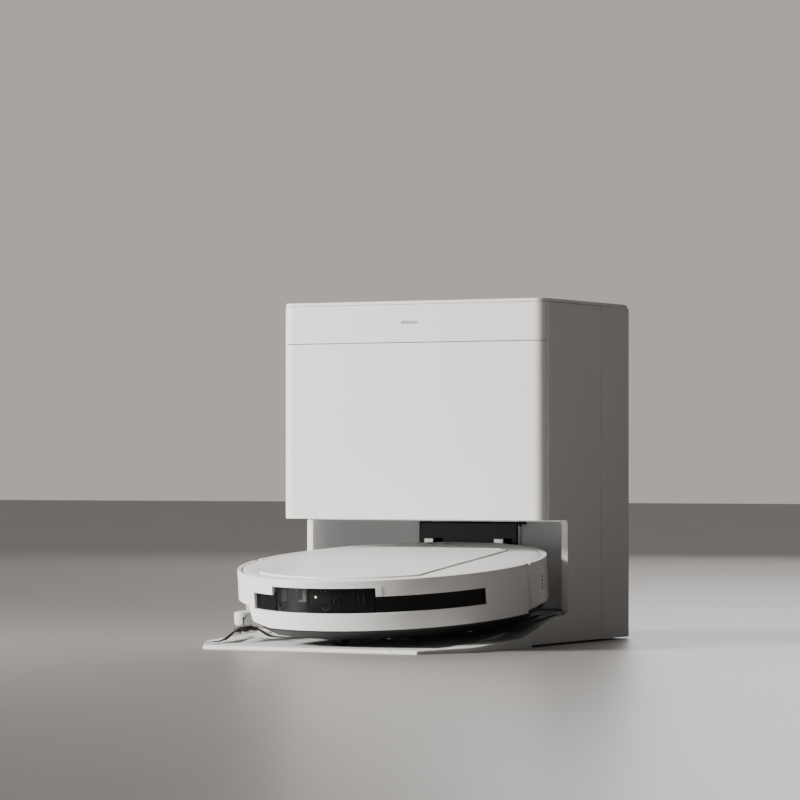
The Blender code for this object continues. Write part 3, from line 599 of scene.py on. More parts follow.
def setLights():
    for name, setting in lights.items():
        data = bpy.data.lights.new(name, setting["kind"])
        if setting["kind"] == "SUN":
            data.angle = setting["size"]
        else:
            data.size = setting["size"]
        data.energy = setting["power"]
        data.color = setting["tint"]
        lamp = bpy.data.objects.new(name, data)
        lamp.location = setting["place"]
        lamp.rotation_euler = (Vector((0, 0, 0.2)) - lamp.location).to_track_quat("-Z", "Y").to_euler()
        bpy.context.scene.collection.objects.link(lamp)
    world = bpy.data.worlds.new("paleRoom")
    world.use_nodes = True
    tree = world.node_tree
    fill = tree.nodes["Background"]
    fill.inputs["Color"].default_value = (0.86, 0.83, 0.8, 1)
    fill.inputs["Strength"].default_value = 0.09
    backdrop = addNode(tree, "ShaderNodeBackground", Color=(0.5, 0.465, 0.435, 1), Strength=0.95)
    seen = addNode(tree, "ShaderNodeLightPath").outputs["Is Camera Ray"]
    blend = addNode(tree, "ShaderNodeMixShader", links={"Fac": seen})
    tree.links.new(fill.outputs[0], blend.inputs[1])
    tree.links.new(backdrop.outputs[0], blend.inputs[2])
    tree.links.new(blend.outputs[0], tree.nodes["World Output"].inputs["Surface"])
    bpy.context.scene.world = world


def addFloor():
    deselectAll()
    bpy.ops.mesh.primitive_plane_add(size=30, location=(0, 0, 0))
    floor = bpy.context.object
    floor.name = "floor"
    made, tree, shader = newFinish("paleFloor", Roughness=0.36)
    place = placeOf(tree)
    cloud = addNoise(tree, place, 3, 5)
    feed(tree, shader, Base_Color=mixColour(tree, cloud, (0.31, 0.288, 0.268), (0.27, 0.25, 0.232)))
    floor.data.materials.append(made)


setCamera()
setLights()
addFloor()
print("camera, lights and floor set")


# ---- moulded shells: the frame's own shapes with softened edges

# Cutters for details that the frame's shapes leave out. Each is a function that makes one cutter.

def rampSeam(x):
    cutter = addBlock("rampSeam", (x - 0.8, -206, -2.2), (x + 0.8, 4, 2.0))
    return seatOnRobot(cutter)


def rampLipSeam(x):
    return addBlock("rampLipSeam", (x - 0.8, -230, 1.6), (x + 0.8, -206, 6))


# A shallow oval press mark on the robot's cover.
def fingerDish():
    deselectAll()
    bpy.ops.mesh.primitive_uv_sphere_add(segments=64, ring_count=32, radius=1, location=(0, 0, 0))
    cutter = bpy.context.object
    cutter.scale = (17 * mm, 6.5 * mm, 1.6 * mm)
    applyPlace(cutter)
    cutter.rotation_euler = (0, 0, math.radians(4))
    cutter.location = Vector((-7, -91, 82.1)) * mm
    return seatOnRobot(cutter)


def podSlit():
    cutter = addBlock("podSlit", (-0.6, -5, -8), (0.6, 5, 0.5))
    return seatOnRobot(moveTo(cutter, (-127.2, -120.6, 27.5), (0, 0, math.radians(28))))


def exhaustSlots():
    slots = [addBlock(f"exhaust{index}", (-60, 220, 74 + 7 * index), (60, 240, 77 + 7 * index))
             for index in range(9)]
    return joinPieces("exhaustSlots", slots)


def cableNotch():
    return addBlock("cableNotch", (126, 215, 0), (138, 240, 9))


# A copy of a frame shape, merged, cleaned, cut, and given rounded edges.
def softCopy(node, name, width, segments=3, angle=38, cutters=()):
    piece = copyPiece(nodes[node], name)
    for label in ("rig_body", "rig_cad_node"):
        if label in piece:
            del piece[label]
    piece.parent = None
    makeActive(piece)
    bpy.ops.object.mode_set(mode="EDIT")
    bpy.ops.mesh.select_all(action="SELECT")
    bpy.ops.mesh.remove_doubles(threshold=0.000005)
    bpy.ops.mesh.dissolve_limited(angle_limit=math.radians(0.8))
    endEdit()
    for makeCutter in cutters:
        cutWith(piece, makeCutter())
    if width:
        roundEdges(piece, width * mm, segments, angle)
    else:
        smoothShade(piece)
    return piece


shells = {  # node: (piece, edge in mm, finish, body, slot)
    "dock_door": ("frontCover", 0.9, "shellWhite", "station_door", "white_shell"),
    "front_fascia": ("fasciaStrip", 0.8, "shellWhite", "station", "white_shell"),
    "dock_lid": ("topLid", 1.0, "shellWhite", "station_lid", "white_shell"),
    "side_panel_left": ("sidePanelLeft", 0.8, "panelWhite", "station", "white_shell"),
    "side_panel_right": ("sidePanelRight", 0.8, "panelWhite", "station", "white_shell"),
    "back_cover": ("backCover", 0.8, "panelWhite", "station", "white_shell"),
    "niche_liner": ("nicheLiner", 0.5, "linerGrey", "station", "pale_grey"),
    "front_ramp": ("frontRamp", 0.9, "shellWhite", "station", "white_shell"),
    "base_plate": ("basePlate", 0.6, "shellWhite", "station", "white_shell"),
    "wash_board": ("washBoard", 0.8, "linerGrey", "station", "pale_grey"),
    "bumper": ("bumperShell", 1.3, "shellWhite", "front_bumper", "white_shell"),
    "rear_cover": ("rearWall", 0.8, "shellWhite", "robot", "white_shell"),
    "hull_shell": ("hullTop", 0.35, "shellWhite", "robot", "white_shell"),
    "robot_lid": ("topCover", 1.2, "shellWhite", "robot_cover", "white_shell"),
    "chassis": ("underPan", 0.5, "matteBlack", "robot", "black_plastic"),
}


cuts = {  # node: the details cut into its shell
    "front_ramp": [lambda: rampSeam(-101), lambda: rampSeam(101), lambda: rampLipSeam(-101),
                   lambda: rampLipSeam(101)],
    "robot_lid": [fingerDish],
    "back_cover": [exhaustSlots, cableNotch],
}


def makeShells():
    for node, (name, width, key, body, slot) in shells.items():
        piece = softCopy(node, name, width, cutters=cuts.get(node, ()))
        wear(piece, key, body, slot)
        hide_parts(node)
        print("  shell", name, len(piece.data.polygons), "faces")


makeShells()
print("shells done")

# ---- pieces shaped from primitives

def addRounded(name, size, edge, segments=3):
    piece = addBlock(name, [-half / 2 for half in size], [half / 2 for half in size])
    return roundEdges(piece, edge * mm, segments)


# Turns a piece made at the origin, its face towards -Y, to stand on the hull at an angle from straight ahead.
def placeOnHull(piece, radius, degrees, height):
    return moveTo(piece, onHull(radius, degrees, height), (0, 0, math.radians(degrees)))


# Insets the faces that pass the test and pushes them in by a depth, as a recess.
def recess(piece, test, margin, depth):
    return insetSteps(piece, test, (margin, 0), (0.02, -depth))


def facing(direction, least=0.95):
    aim = Vector(direction)
    return lambda face: face.normal.dot(aim) > least


# A tube along points in millimetres, as a mesh.
def addTube(name, points, radius, sides=1, tips=None):
    deselectAll()
    bpy.ops.curve.primitive_nurbs_path_add()
    line = bpy.context.object
    curve = line.data
    curve.splines.clear()
    spline = curve.splines.new("NURBS")
    spline.points.add(len(points) - 1)
    for index, (knot, place) in enumerate(zip(spline.points, points)):
        knot.co = (*(Vector(place) * mm), 1)
        knot.radius = tips[index] if tips else 1
    spline.order_u = 4
    spline.use_endpoint_u = True
    spline.resolution_u = 2
    curve.bevel_depth = radius * mm
    curve.bevel_resolution = sides
    curve.use_fill_caps = True
    line.name = name
    bpy.ops.object.convert(target="MESH")
    piece = bpy.context.object
    bpy.ops.object.mode_set(mode="EDIT")
    bpy.ops.mesh.select_all(action="SELECT")
    bpy.ops.mesh.remove_doubles(threshold=0.000001)
    bpy.ops.mesh.normals_make_consistent(inside=False)
    endEdit()
    bpy.ops.object.shade_smooth()
    return piece


# A small cross-head screw, its head up +Z at the origin.
def addScrew(name, radius=3.0, height=1.4):
    head = addRod(name, radius, height, (0, 0, 0), vertices=28)
    slots = [addBlock("slotA", (-radius * 0.62, -0.35, height * 0.1), (radius * 0.62, 0.35, height)),
             addBlock("slotB", (-0.35, -radius * 0.62, height * 0.1), (0.35, radius * 0.62, height))]
    for slot in slots:
        cutWith(head, slot)
    return roundEdges(head, 0.25 * mm, 2, 50)


def addScrews(name, places, turn=(0, 0, 0), radius=3.0):
    first = addScrew(name, radius)
    heads = [copyPiece(first, f"{name}{index}") for index in range(1, len(places))]
    for head, place in zip([first] + heads, places):
        moveTo(head, place, turn)
    return joinPieces(name, [first] + heads)


# ---- front sensors, behind their smoked cover

sensors = {"coverInner": 169.3, "coverOuter": 170.8, "start": -20.9, "end": 22.2, "low": 42.6, "high": 71.6,
           "plateFace": 165.4, "housing": 164.1,
           "camera": (6, 55), "lamp": (-2.4, 59.3), "leftTab": (-18.2, 60.5), "rightTab": (16.6, 59.5),
           "guide": (-7.5, 61)}


def addSensors():
    cover = addArcWall("sensorCover", sensors["coverInner"], sensors["coverOuter"], sensors["start"],
                       sensors["end"], sensors["low"], sensors["high"], 32)
    wear(seatOnRobot(roundEdges(cover, 0.25 * mm, 2)), "smoked", "front_bumper", "smoked_tank")

    rim = addArcWall("bayRimSide", 174.6, 175.5, 22.3, 24.7, 60.7, 71.8, 4)
    crown = addArcWall("bayRimTop", 174.6, 175.35, -21.2, 24.7, 70.1, 71.8, 32)
    rims = joinPieces("bayRim", [rim, crown])
    wear(seatOnRobot(roundEdges(rims, 0.3 * mm, 2)), "shellWhite", "front_bumper", "white_shell")

    back = addArcWall("sensorBackWall", 163.1, 164.0, -20.4, 21.8, 39.5, 72.4, 32)
    wear(seatOnRobot(roundEdges(back, 0.2 * mm, 1)), "innerPanel", "robot", "black_plastic")
    plate = addArcWall("cameraPlate", 164.0, 165.1, -5.2, 8.4, 47.5, 67.3, 12)
    wear(seatOnRobot(roundEdges(plate, 0.3 * mm, 2)), "cameraPlate", "robot", "black_plastic")

    ribs = [addArcWall(f"bayRib{index}", 163.8, 165.0, degrees, degrees + 0.35, 44, 71, 2)
            for index, degrees in enumerate((-14.9, -13.2, -11.6, 10.6, 13.0, 20.3))]
    wear(seatOnRobot(joinPieces("bayRibs", ribs)), "cameraPlate", "robot", "black_plastic")

    tab = recess(addRounded("leftLaserBlock", (8.6, 3.6, 14.6), 0.7), facing((0, -1, 0)), 1.2, 1.0)
    tab = placeOnHull(tab, sensors["housing"], *sensors["leftTab"])
    wear(seatOnRobot(tab), "tabGrey", "robot", "pale_grey")
    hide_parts("line_laser_left")
    slits = [addRounded(f"laserSlit{index}", (0.5, 0.8, 11), 0.15, 2) for index in range(2)]
    for index, slit in enumerate(slits):
        placeOnHull(slit, 165.8, sensors["leftTab"][0] - 0.9 + 1.5 * index, sensors["leftTab"][1])
    wear(seatOnRobot(joinPieces("laserSlits", slits)), "innerPanel", "robot", "black_plastic")

    upright = addRounded("guideUpright", (5.6, 3.0, 13.6), 0.6)
    foot = addRounded("guideFoot", (11, 3.4, 2.0), 0.6)
    placeOnHull(upright, 164.3, sensors["guide"][0], sensors["guide"][1] + 0.2)
    placeOnHull(foot, 164.2, sensors["guide"][0] - 1.2, sensors["guide"][1] - 6.6)
    wear(seatOnRobot(joinPieces("guideTab", [upright, foot])), "guideGrey", "robot", "pale_grey")

    laser = recess(addRounded("rightLaserBlock", (8.6, 3.6, 14.6), 0.7), facing((0, -1, 0)), 1.4, 1.2)
    laser = placeOnHull(laser, sensors["housing"], *sensors["rightTab"])
    wear(seatOnRobot(laser), "cameraPlate", "robot", "black_plastic")
    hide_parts("line_laser_right")

    degrees, height = sensors["camera"]
    barrel = addRod("cameraBarrel", 6.2, 3.4, (0, 0, 0), (math.pi / 2, 0, 0), 40)
    insetSteps(barrel, facing((0, -1, 0)), (1.0, 0), (0.7, -1.1), (0.5, -0.6))
    roundEdges(barrel, 0.2 * mm, 2)
    wear(seatOnRobot(placeOnHull(barrel, 164.4, degrees, height)), "matteBlack", "robot", "black_plastic")
    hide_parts("camera_lens")
    glass = addBall("cameraGlass", 3.4, 0.42, 32, 20)
    wear(seatOnRobot(placeOnHull(glass, 164.7, degrees, height)), "lens", "robot", "black_window")
    pair = [placeOnHull(addBall(f"rangeBead{index}", size, 0.5, 24, 14), sensors["plateFace"], turn, level)
            for index, (turn, level, size) in enumerate(((1.4, 50.2, 2.0), (6.6, 64.2, 1.3)))]
    wear(seatOnRobot(joinPieces("rangeBeads", pair)), "lens", "robot", "black_window")

    degrees, height = sensors["lamp"]
    ring = addRod("lampRing", 2.7, 2.6, (0, 0, 0), (math.pi / 2, 0, 0), 32)
    recess(ring, facing((0, -1, 0)), 0.8, 0.9)
    roundEdges(ring, 0.2 * mm, 2)
    ring = placeOnHull(ring, sensors["housing"], degrees, height)
    wear(seatOnRobot(ring), "lampRing", "robot", "black_plastic")
    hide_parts("fill_light")
    glow = addBall("lampGlow", 1.25, 0.5, 20, 12)
    wear(seatOnRobot(placeOnHull(glow, 165.3, degrees, height)), "ledGreen", "robot", "pale_grey")

    marks = [addRounded(f"bayMark{index}", (1.7, 0.8, 0.9), 0.15, 2) for index in range(2)]
    for mark, turn in zip(marks, (0.1, 2.1)):
        placeOnHull(mark, sensors["plateFace"], turn, 65.7)
    wear(seatOnRobot(joinPieces("bayMarks", marks)), "guideGrey", "robot", "pale_grey")

    arc = addRing("bayBracket", 4.4, 0.45, 40, 10, (math.pi / 2, 0, 0))
    bpy.ops.object.mode_set(mode="EDIT")
    bpy.ops.mesh.select_all(action="SELECT")
    bpy.ops.mesh.bisect(plane_co=(0, 0, -1.2 * mm), plane_no=(0, 0, 1), clear_outer=True, use_fill=True)
    endEdit()
    bpy.ops.object.shade_smooth()
    wear(seatOnRobot(placeOnHull(arc, sensors["plateFace"], 1.7, 49.4)), "midGrey", "robot", "pale_grey")
    print("sensors made")


# ---- corner brush: its arm, root and three tufts

cornerBrush = {"hub": (-132.8, -110), "headings": (15, -105, -225), "strands": 15,
               "reach": 57, "root": 7.5, "rootHeight": 14.6, "tipHeight": 4.9, "spread": 1.7, "thick": 0.4}


def addCornerBrush():
    hubX, hubY = cornerBrush["hub"]
    pod = softCopy("side_brush_arm", "brushPod", 4.6, 6, 50, [podSlit])
    wear(pod, "podGrey", "brush_arm", "pale_grey")
    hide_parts("side_brush_arm")
    socket = addRod("podSocket", 9.6, 2.2, (hubX, hubY, 18.9), vertices=40)
    wear(seatOnRobot(roundEdges(socket, 0.6 * mm, 3)), "midGrey", "brush_arm", "pale_grey")

    root = addRod("brushRoot", 8.2, 5.0, (hubX, hubY, 15.0), vertices=36)
    insetSteps(root, facing((0, 0, -1)), (2.2, -1.4), (0.6, 0), (0.01, 2.6))
    roundEdges(root, 0.5 * mm, 3)
    sleeves = []
    for heading in cornerBrush["headings"]:
        turn = math.radians(heading)
        place = (hubX + 9.5 * math.cos(turn), hubY + 9.5 * math.sin(turn), 14.4)
        sleeve = addRounded("sleeve", (12, 6.4, 4.2), 1.5, 3)
        sleeves.append(moveTo(sleeve, place, (0, math.radians(8), turn)))
    root = joinPieces("brushRoot", [root] + sleeves)
    wear(seatOnRobot(root), "rubber", "corner_brush", "dark_rubber")
    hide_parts("side_brush")

    screw = moveTo(addScrew("brushScrew", 3.2, 1.4), (hubX, hubY, 10.4), (math.pi, 0, 0))
    wear(seatOnRobot(screw), "steel", "corner_brush", "steel")

    tufts = []
    count, reach, base = cornerBrush["strands"], cornerBrush["reach"], cornerBrush["root"]
    top = cornerBrush["rootHeight"]
    for arm, heading in enumerate(cornerBrush["headings"]):
        for strand in range(count):
            across = (strand / (count - 1) - 0.5) * 2
            lift = ((strand * 5) % count) / count - 0.5
            longer = 1 - 0.05 * ((strand * 7 + arm * 3) % 5)
            points = []
            for step in range(9):
                share = step / 8
                out = base + (reach * longer - base) * share
                side = across * cornerBrush["spread"] * (0.35 + 0.65 * share) + lift * share
                fall = min(1, max(0, (share - 0.08) / 0.52))
                drop = fall * fall * (3 - 2 * fall)
                height = top - (top - cornerBrush["tipHeight"]) * drop
                height += lift * (0.9 if share < 0.9 else 0.6)
                turn = math.radians(heading) - 0.2 * share * share
                points.append((hubX + out * math.cos(turn) - side * math.sin(turn),
                               hubY + out * math.sin(turn) + side * math.cos(turn), height))
            tips = [1 - 0.5 * (step / 8) ** 3 for step in range(9)]
            tufts.append(addTube(f"strand{arm}_{strand}", points, cornerBrush["thick"], 0, tips))
    tuft = joinPieces("brushTufts", tufts)
    wear(seatOnRobot(tuft), "bristle", "corner_brush", "dark_rubber")
    print("corner brush made:", len(tuft.data.polygons), "faces")


# ---- robot's top: the two buttons

def addTopDetails():
    for name, node, body, x in (("powerKey", "power_button", "power_key", -28),
                                ("homeKey", "home_button", "home_key", -6)):
        cap = addRod(name, 7.9, 4.6, (x, 146, 77.7), vertices=56)
        insetSteps(cap, facing((0, 0, 1)), (1.1, 0), (2.6, -0.25), (2.0, -0.15))
        wear(seatOnRobot(roundEdges(cap, 0.5 * mm, 3, 25)), "keyGrey", body, "pale_grey")
        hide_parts(node)
        ring = moveTo(addRing(name + "Ring", 3.1, 0.33, 40, 8), (x, 146, 79.95))
        bpy.ops.object.shade_smooth()
        bar = addRounded(name + "Bar", (0.8, 3.0, 0.6), 0.2, 2)
        moveTo(bar, (x, 148.2 if name == "powerKey" else 146, 80.0))
        wear(seatOnRobot(joinPieces(name + "Mark", [ring, bar])), "midGrey", body, "pale_grey")


# ---- running gear: treaded wheels, finned roller, pads on their plates

wheel = {"radius": 36, "x": 109, "width": 19, "lugs": 30}
roller = {"place": (0, -53, 21.5), "core": 8.6, "reach": 17.8, "length": 166, "fins": 6, "twist": 70}
mop = {"x": 64, "y": 88, "radius": 58, "low": 0.6, "high": 7.0}


def addWheels():
    for side, sign in (("left", -1), ("right", 1)):
        tyre = addRod("tyre_" + side, 33.6, 19.4, (0, 0, 0), (0, math.pi / 2, 0), 96)
        for direction in (1, -1):
            insetSteps(tyre, facing((direction, 0, 0)), (6.5, 0), (0.6, -2.4))
        roundEdges(tyre, 0.8 * mm, 3)
        lugs = []
        for index in range(wheel["lugs"]):
            turn = 2 * math.pi * index / wheel["lugs"]
            lug = addRounded(f"lug{index}", (wheel["width"], 3.1, 3.4), 0.6, 2)
            lugs.append(moveTo(lug, (0, -34.1 * math.sin(turn), 34.1 * math.cos(turn)), (turn, 0, 0)))
        tyre = joinPieces("tyre_" + side, [tyre] + lugs)
        moveTo(tyre, (sign * wheel["x"], 0, wheel["radius"]))
        wear(seatOnRobot(tyre), "rubber", "wheel_" + side, "dark_rubber")
        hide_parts("drive_wheel_" + side)
        hub = addRod("wheelHub_" + side, 26.4, 16.4, (0, 0, 0), (0, math.pi / 2, 0), 64)
        insetSteps(hub, lambda face: abs(face.normal.x) > 0.95, (9, 0), (1.2, -1.6), (4, 0), (0.8, 1.2))
        roundEdges(hub, 0.5 * mm, 2)
        spokes = []
        for index in range(6):
            turn = 2 * math.pi * index / 6
            spoke = addRounded(f"spoke{index}", (17.0, 2.4, 9), 0.6, 2)
            spokes.append(moveTo(spoke, (0, -11.5 * math.sin(turn), 11.5 * math.cos(turn)), (turn, 0, 0)))
        hub = joinPieces("wheelHub_" + side, [hub] + spokes)
        moveTo(hub, (sign * wheel["x"], 0, wheel["radius"]))
        wear(seatOnRobot(hub), "midGrey", "wheel_" + side, "pale_grey")


def addRoller():
    core = addRod("rollerCore", roller["core"], roller["length"], (0, 0, 0), (0, math.pi / 2, 0), 36)
    sideFaces = 36 // roller["fins"]
    order = sorted((face for face in core.data.polygons if abs(face.normal.x) < 0.5),
                   key=lambda face: math.atan2(face.normal.y, face.normal.z))
    chosen = {face.index for position, face in enumerate(order) if position % sideFaces == 0}
    selectFaces(core, lambda face: face.index in chosen)
    bpy.ops.mesh.extrude_region_shrink_fatten(TRANSFORM_OT_shrink_fatten={"value": -3.0 * mm})
    bpy.ops.mesh.extrude_region_shrink_fatten(
        TRANSFORM_OT_shrink_fatten={"value": -(roller["reach"] - roller["core"] - 3.0) * mm})
    endEdit()
    for cut in range(1, 24):
        place = (cut / 24 - 0.5) * roller["length"] * mm
        makeActive(core)
        bpy.ops.object.mode_set(mode="EDIT")
        bpy.ops.mesh.select_all(action="SELECT")
        bpy.ops.mesh.bisect(plane_co=(place, 0, 0), plane_no=(1, 0, 0))
        endEdit()
    for vertex in core.data.vertices:
        turn = math.radians(roller["twist"]) * abs(vertex.co.x) / (roller["length"] * mm)
        vertex.co = Matrix.Rotation(turn, 3, "X") @ vertex.co
    smoothShade(core, 30)
    shaft = addRod("rollerShaft", 3.9, 177, (0, 0, 0), (0, math.pi / 2, 0), 28)
    collars = [addRod(f"collar{index}", 11, 3.2, (side * 82.2, 0, 0), (0, math.pi / 2, 0), 40)
               for index, side in enumerate((-1, 1))]
    ends = joinPieces("rollerEnds", [shaft] + collars)
    roundEdges(ends, 0.4 * mm, 2)
    for piece, key, slot in ((core, "rubber", "dark_rubber"), (ends, "steel", "steel")):
        moveTo(piece, roller["place"])
        wear(seatOnRobot(piece), key, "roller_brush", slot)
    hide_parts("main_brush")


def addMops():
    for side, sign in (("left", -1), ("right", 1)):
        centre = (sign * mop["x"], mop["y"])
        waves = [(5.6, 0.35 if ring % 2 else -0.25) for ring in range(9)]
        pad = addRod("mopPad_" + side, mop["radius"] - 0.6, mop["high"] - mop["low"],
                     (*centre, (mop["high"] + mop["low"]) / 2), vertices=96)
        for direction in (1, -1):
            insetSteps(pad, facing((0, 0, direction)), *waves)
        roundEdges(pad, 1.6 * mm, 4, 50)
        seatOnRobot(pad)
        wear(pad, "pad", "mop_disc_" + side, "mop_pad")
        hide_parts("mop_" + side)
        plate = addRod("mopPlate_" + side, 53, 2.6, (*centre, 8.4), vertices=80)
        insetSteps(plate, facing((0, 0, 1)), (8, -0.7), (25, 0), (0.6, 1.4))
        roundEdges(plate, 0.4 * mm, 2)
        spindle = addRod("mopSpindle", 5.6, 14.4, (*centre, 16.2), vertices=24)
        roundEdges(spindle, 0.6 * mm, 2)
        plate = joinPieces("mopPlate_" + side, [plate, spindle])
        wear(seatOnRobot(plate), "midGrey", "mop_disc_" + side, "pale_grey")
        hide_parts("mop_" + side)
    print("mops made")


# ---- station details

dock = {"window": (64.7, 96, 136), "trimFront": 67.2, "trimOuter": 170.2, "trimInner": 162.1,
        "trimTop": 141.7, "trimBottom": 38.2}


def topCorner(a, b):
    return abs(a.x - b.x) < 1e-6 and abs(a.z - b.z) < 1e-6 and a.z > 0.1


def addDockDetails():
    half, low, high = dock["window"]
    frameRing = addBlock("windowFrame", (-half - 2.4, 150.6, low - 2.4), (half + 2.4, 153.8, high + 2.2))
    opening = addBlock("windowFrameGap", (-half - 0.4, 140, low - 0.4), (half + 0.4, 160, high + 0.4))
    cutWith(frameRing, opening)
    wear(roundEdges(frameRing, 0.5 * mm, 3), "linerGrey", "station", "pale_grey")

    outer, inner, top = dock["trimOuter"], dock["trimInner"], dock["trimTop"]
    trim = addBlock("nicheTrim", (-outer, dock["trimFront"], dock["trimBottom"]), (outer, 70.6, top))
    bevelEdges(trim, topCorner, 6.5, 6)
    gap = addBlock("nicheTrimGap", (-inner, 60, 20), (inner, 80, top - 2.2))
    bevelEdges(gap, topCorner, 5, 6)
    cutWith(trim, gap)
    wear(roundEdges(trim, 0.6 * mm, 3), "linerGrey", "station", "pale_grey")

    holder = moveTo(addRounded("guideEmitterBody", (9, 6, 4.6), 0.8), (71.5, 148, 135.8))
    recess(holder, facing((0, -1, 0)), 0.9, 0.8)
    fin = moveTo(addRounded("guideEmitterFin", (2.2, 5, 3.0), 0.4), (69.5, 148, 132.6))
    wear(joinPieces("guideEmitter", [holder, fin]), "matteBlack", "station", "black_plastic")

    strips = [addRounded(f"backContact{index}", (13, 0.8, 9), 0.3, 2) for index in range(2)]
    for strip, x in zip(strips, (-46, 46)):
        turn = math.degrees(math.asin(x / 175))
        placeOnHull(strip, 175.1, 180 - turn, 68)
    wear(seatOnRobot(joinPieces("chargeStrips", strips)), "steel", "robot", "steel")

    plate = addBlock("socketPlate", (112, 230.4, 30), (152, 231.6, 62))
    cutWith(plate, addBlock("socketGap", (119.4, 220, 35.4), (144.6, 240, 56.6)))
    wear(roundEdges(plate, 0.4 * mm, 2), "midGrey", "station", "pale_grey")
    pins = [addRod(f"inletPin{index}", 1.5, 9, (x, 220.4, 46), (math.pi / 2, 0, 0), 20)
            for index, x in enumerate((127.5, 136.5))]
    wear(roundEdges(joinPieces("inletPins", pins), 0.4 * mm, 3, 60), "steel", "station", "steel")

    backScrews = [(x, 231.4, z) for x in (-158, 158) for z in (18, 120, 250, 366)]
    wear(addScrews("backScrews", backScrews, (-math.pi / 2, 0, 0)), "steel", "station", "steel")
    print("station details made")


def addHullDetails():
    stops = [addArcWall(f"stop{index}", 168.7, 171.1, start, start + 2.8, 26, 78.2, 4)
             for index, start in enumerate((87.1, -89.9))]
    wear(seatOnRobot(joinPieces("bumperStops", stops)), "shellWhite", "robot", "white_shell")
    mesh = addArcWall("speakerBacking", 166.6, 168.6, 95, 107, 42, 64, 10)
    wear(seatOnRobot(roundEdges(mesh, 0.2 * mm, 1)), "matteBlack", "robot", "black_plastic")
    # Black plugs set into the four speaker holes: painted shade, so the holes read dark from every side.
    holeShadePlugs = []
    for index in range(4):
        plug = addRod(f"plug{index}", 1.27, 4.6, (0, 0, 0), (0, math.pi / 2, 0), 24)
        plug.scale = (1, 1.95, 1)
        plug.location = onHull(172, 101, 46.4 + 4.2 * index) * mm + Vector((0.2 * mm, 0, 0))
        holeShadePlugs.append(applyPlace(plug))
    holeShadePlugs = roundEdges(joinPieces("speakerHoleShade", holeShadePlugs), 0.25 * mm, 2)
    wear(seatOnRobot(holeShadePlugs), "matteBlack", "robot", "black_plastic")

    # The raised bead along the cover's rear edge, and the thin reset slot near the rim.
    edge = [(97.5, 62), (98.0, 76), (96.4, 86), (90.5, 93), (80, 95.2), (52, 95.6), (20, 95.7)]
    path = [(x, y, 80.75) for x, y in edge] + [(-x, y, 80.75) for x, y in reversed(edge)]
    thin = [0.25, 0.6, 0.95, 1.1, 1.15, 1.15, 1.15]
    bead = addTube("coverBead", path, 0.95, 3, thin + thin[::-1])
    wear(seatOnRobot(bead), "shellWhite", "robot_cover", "white_shell")
    slot = addRounded("resetSlot", (6.4, 1.3, 0.7), 0.3, 2)
    placeOnHull(slot, 152.1, -52.6, 79.25)
    wear(seatOnRobot(slot), "matteBlack", "robot", "black_plastic")


def addUnderDetails():
    spots = ((-100, -110), (62, -128), (128, -66), (-132, 40), (132, 40), (-40, 150), (40, 150), (0, 20))
    places = [(x, y, 10.4) for x, y in spots]
    wear(seatOnRobot(addScrews("underScrews", places, (math.pi, 0, 0))), "steel", "robot", "steel")
    guards = [(x, y, 7.6) for y in (-84, -22) for x in (-90, 90)]
    wear(seatOnRobot(addScrews("guardScrews", guards, (math.pi, 0, 0), 2.2)), "steel", "robot", "steel")
    windows = []
    for index, degrees in enumerate((-26, 26, 62, -96, 96)):
        eye = addRounded(f"cliffWindow{index}", (24, 9, 2.2), 1.0)
        recess(eye, facing((0, 0, -1)), 1.4, 0.6)
        windows.append(placeOnHull(eye, 139, degrees, 10.6))
    wear(seatOnRobot(joinPieces("cliffWindows", windows)), "glossBlack", "robot", "black_window")
    ribs = [moveTo(addRounded(f"underRib{index}", (60, 1.6, 1.2), 0.4, 2), (0, -8 + index * 5, 10.7))
            for index in range(7)]
    wear(seatOnRobot(joinPieces("underRibs", ribs)), "matteBlack", "robot", "black_plastic")
    print("underside details made")


# ---- dust bag and filter

bag = {"low": (-150, 36, 153), "high": (2, 93, 316), "cuts": 27, "rim": 0.94, "rimThickness": 0.035,
       "pull": 5, "crumple": 2.0, "pucker": 1.1, "collar": (70, 40, 2.4), "hole": 15, "neck": (19, 12)}


# Swells a flat-sided pouch between its welded rim, pulls its sides in between the corners and crumples it.
def swellBag(pouch):
    low, high = Vector(bag["low"]) * mm, Vector(bag["high"]) * mm
    middle, half = (low + high) / 2, (high - low) / 2
    for corner in pouch.data.vertices:
        across, depth, up = [(corner.co[axis] - middle[axis]) / half[axis] for axis in range(3)]
        reach = [min(1, abs(value) / bag["rim"]) for value in (across, up)]
        bulge = ((1 - reach[0] ** 3) * (1 - reach[1] ** 3)) ** 0.45
        fullness = bag["rimThickness"] + (0.93 - bag["rimThickness"]) * bulge
        crumple = noise.noise(Vector((across * 2.6, depth * 1.4, up * 2.6 + 3))) * bag["crumple"] * bulge
        pucker = math.sin(math.atan2(up, across) * 34) * bag["pucker"] * bulge * (1 - bulge) * 4
        corner.co.y = middle.y + depth * (half.y * fullness + (crumple + pucker) * mm)
        corner.co.x -= across * bag["pull"] * mm * (1 - up * up)
        corner.co.z -= up * bag["pull"] * mm * (1 - across * across)


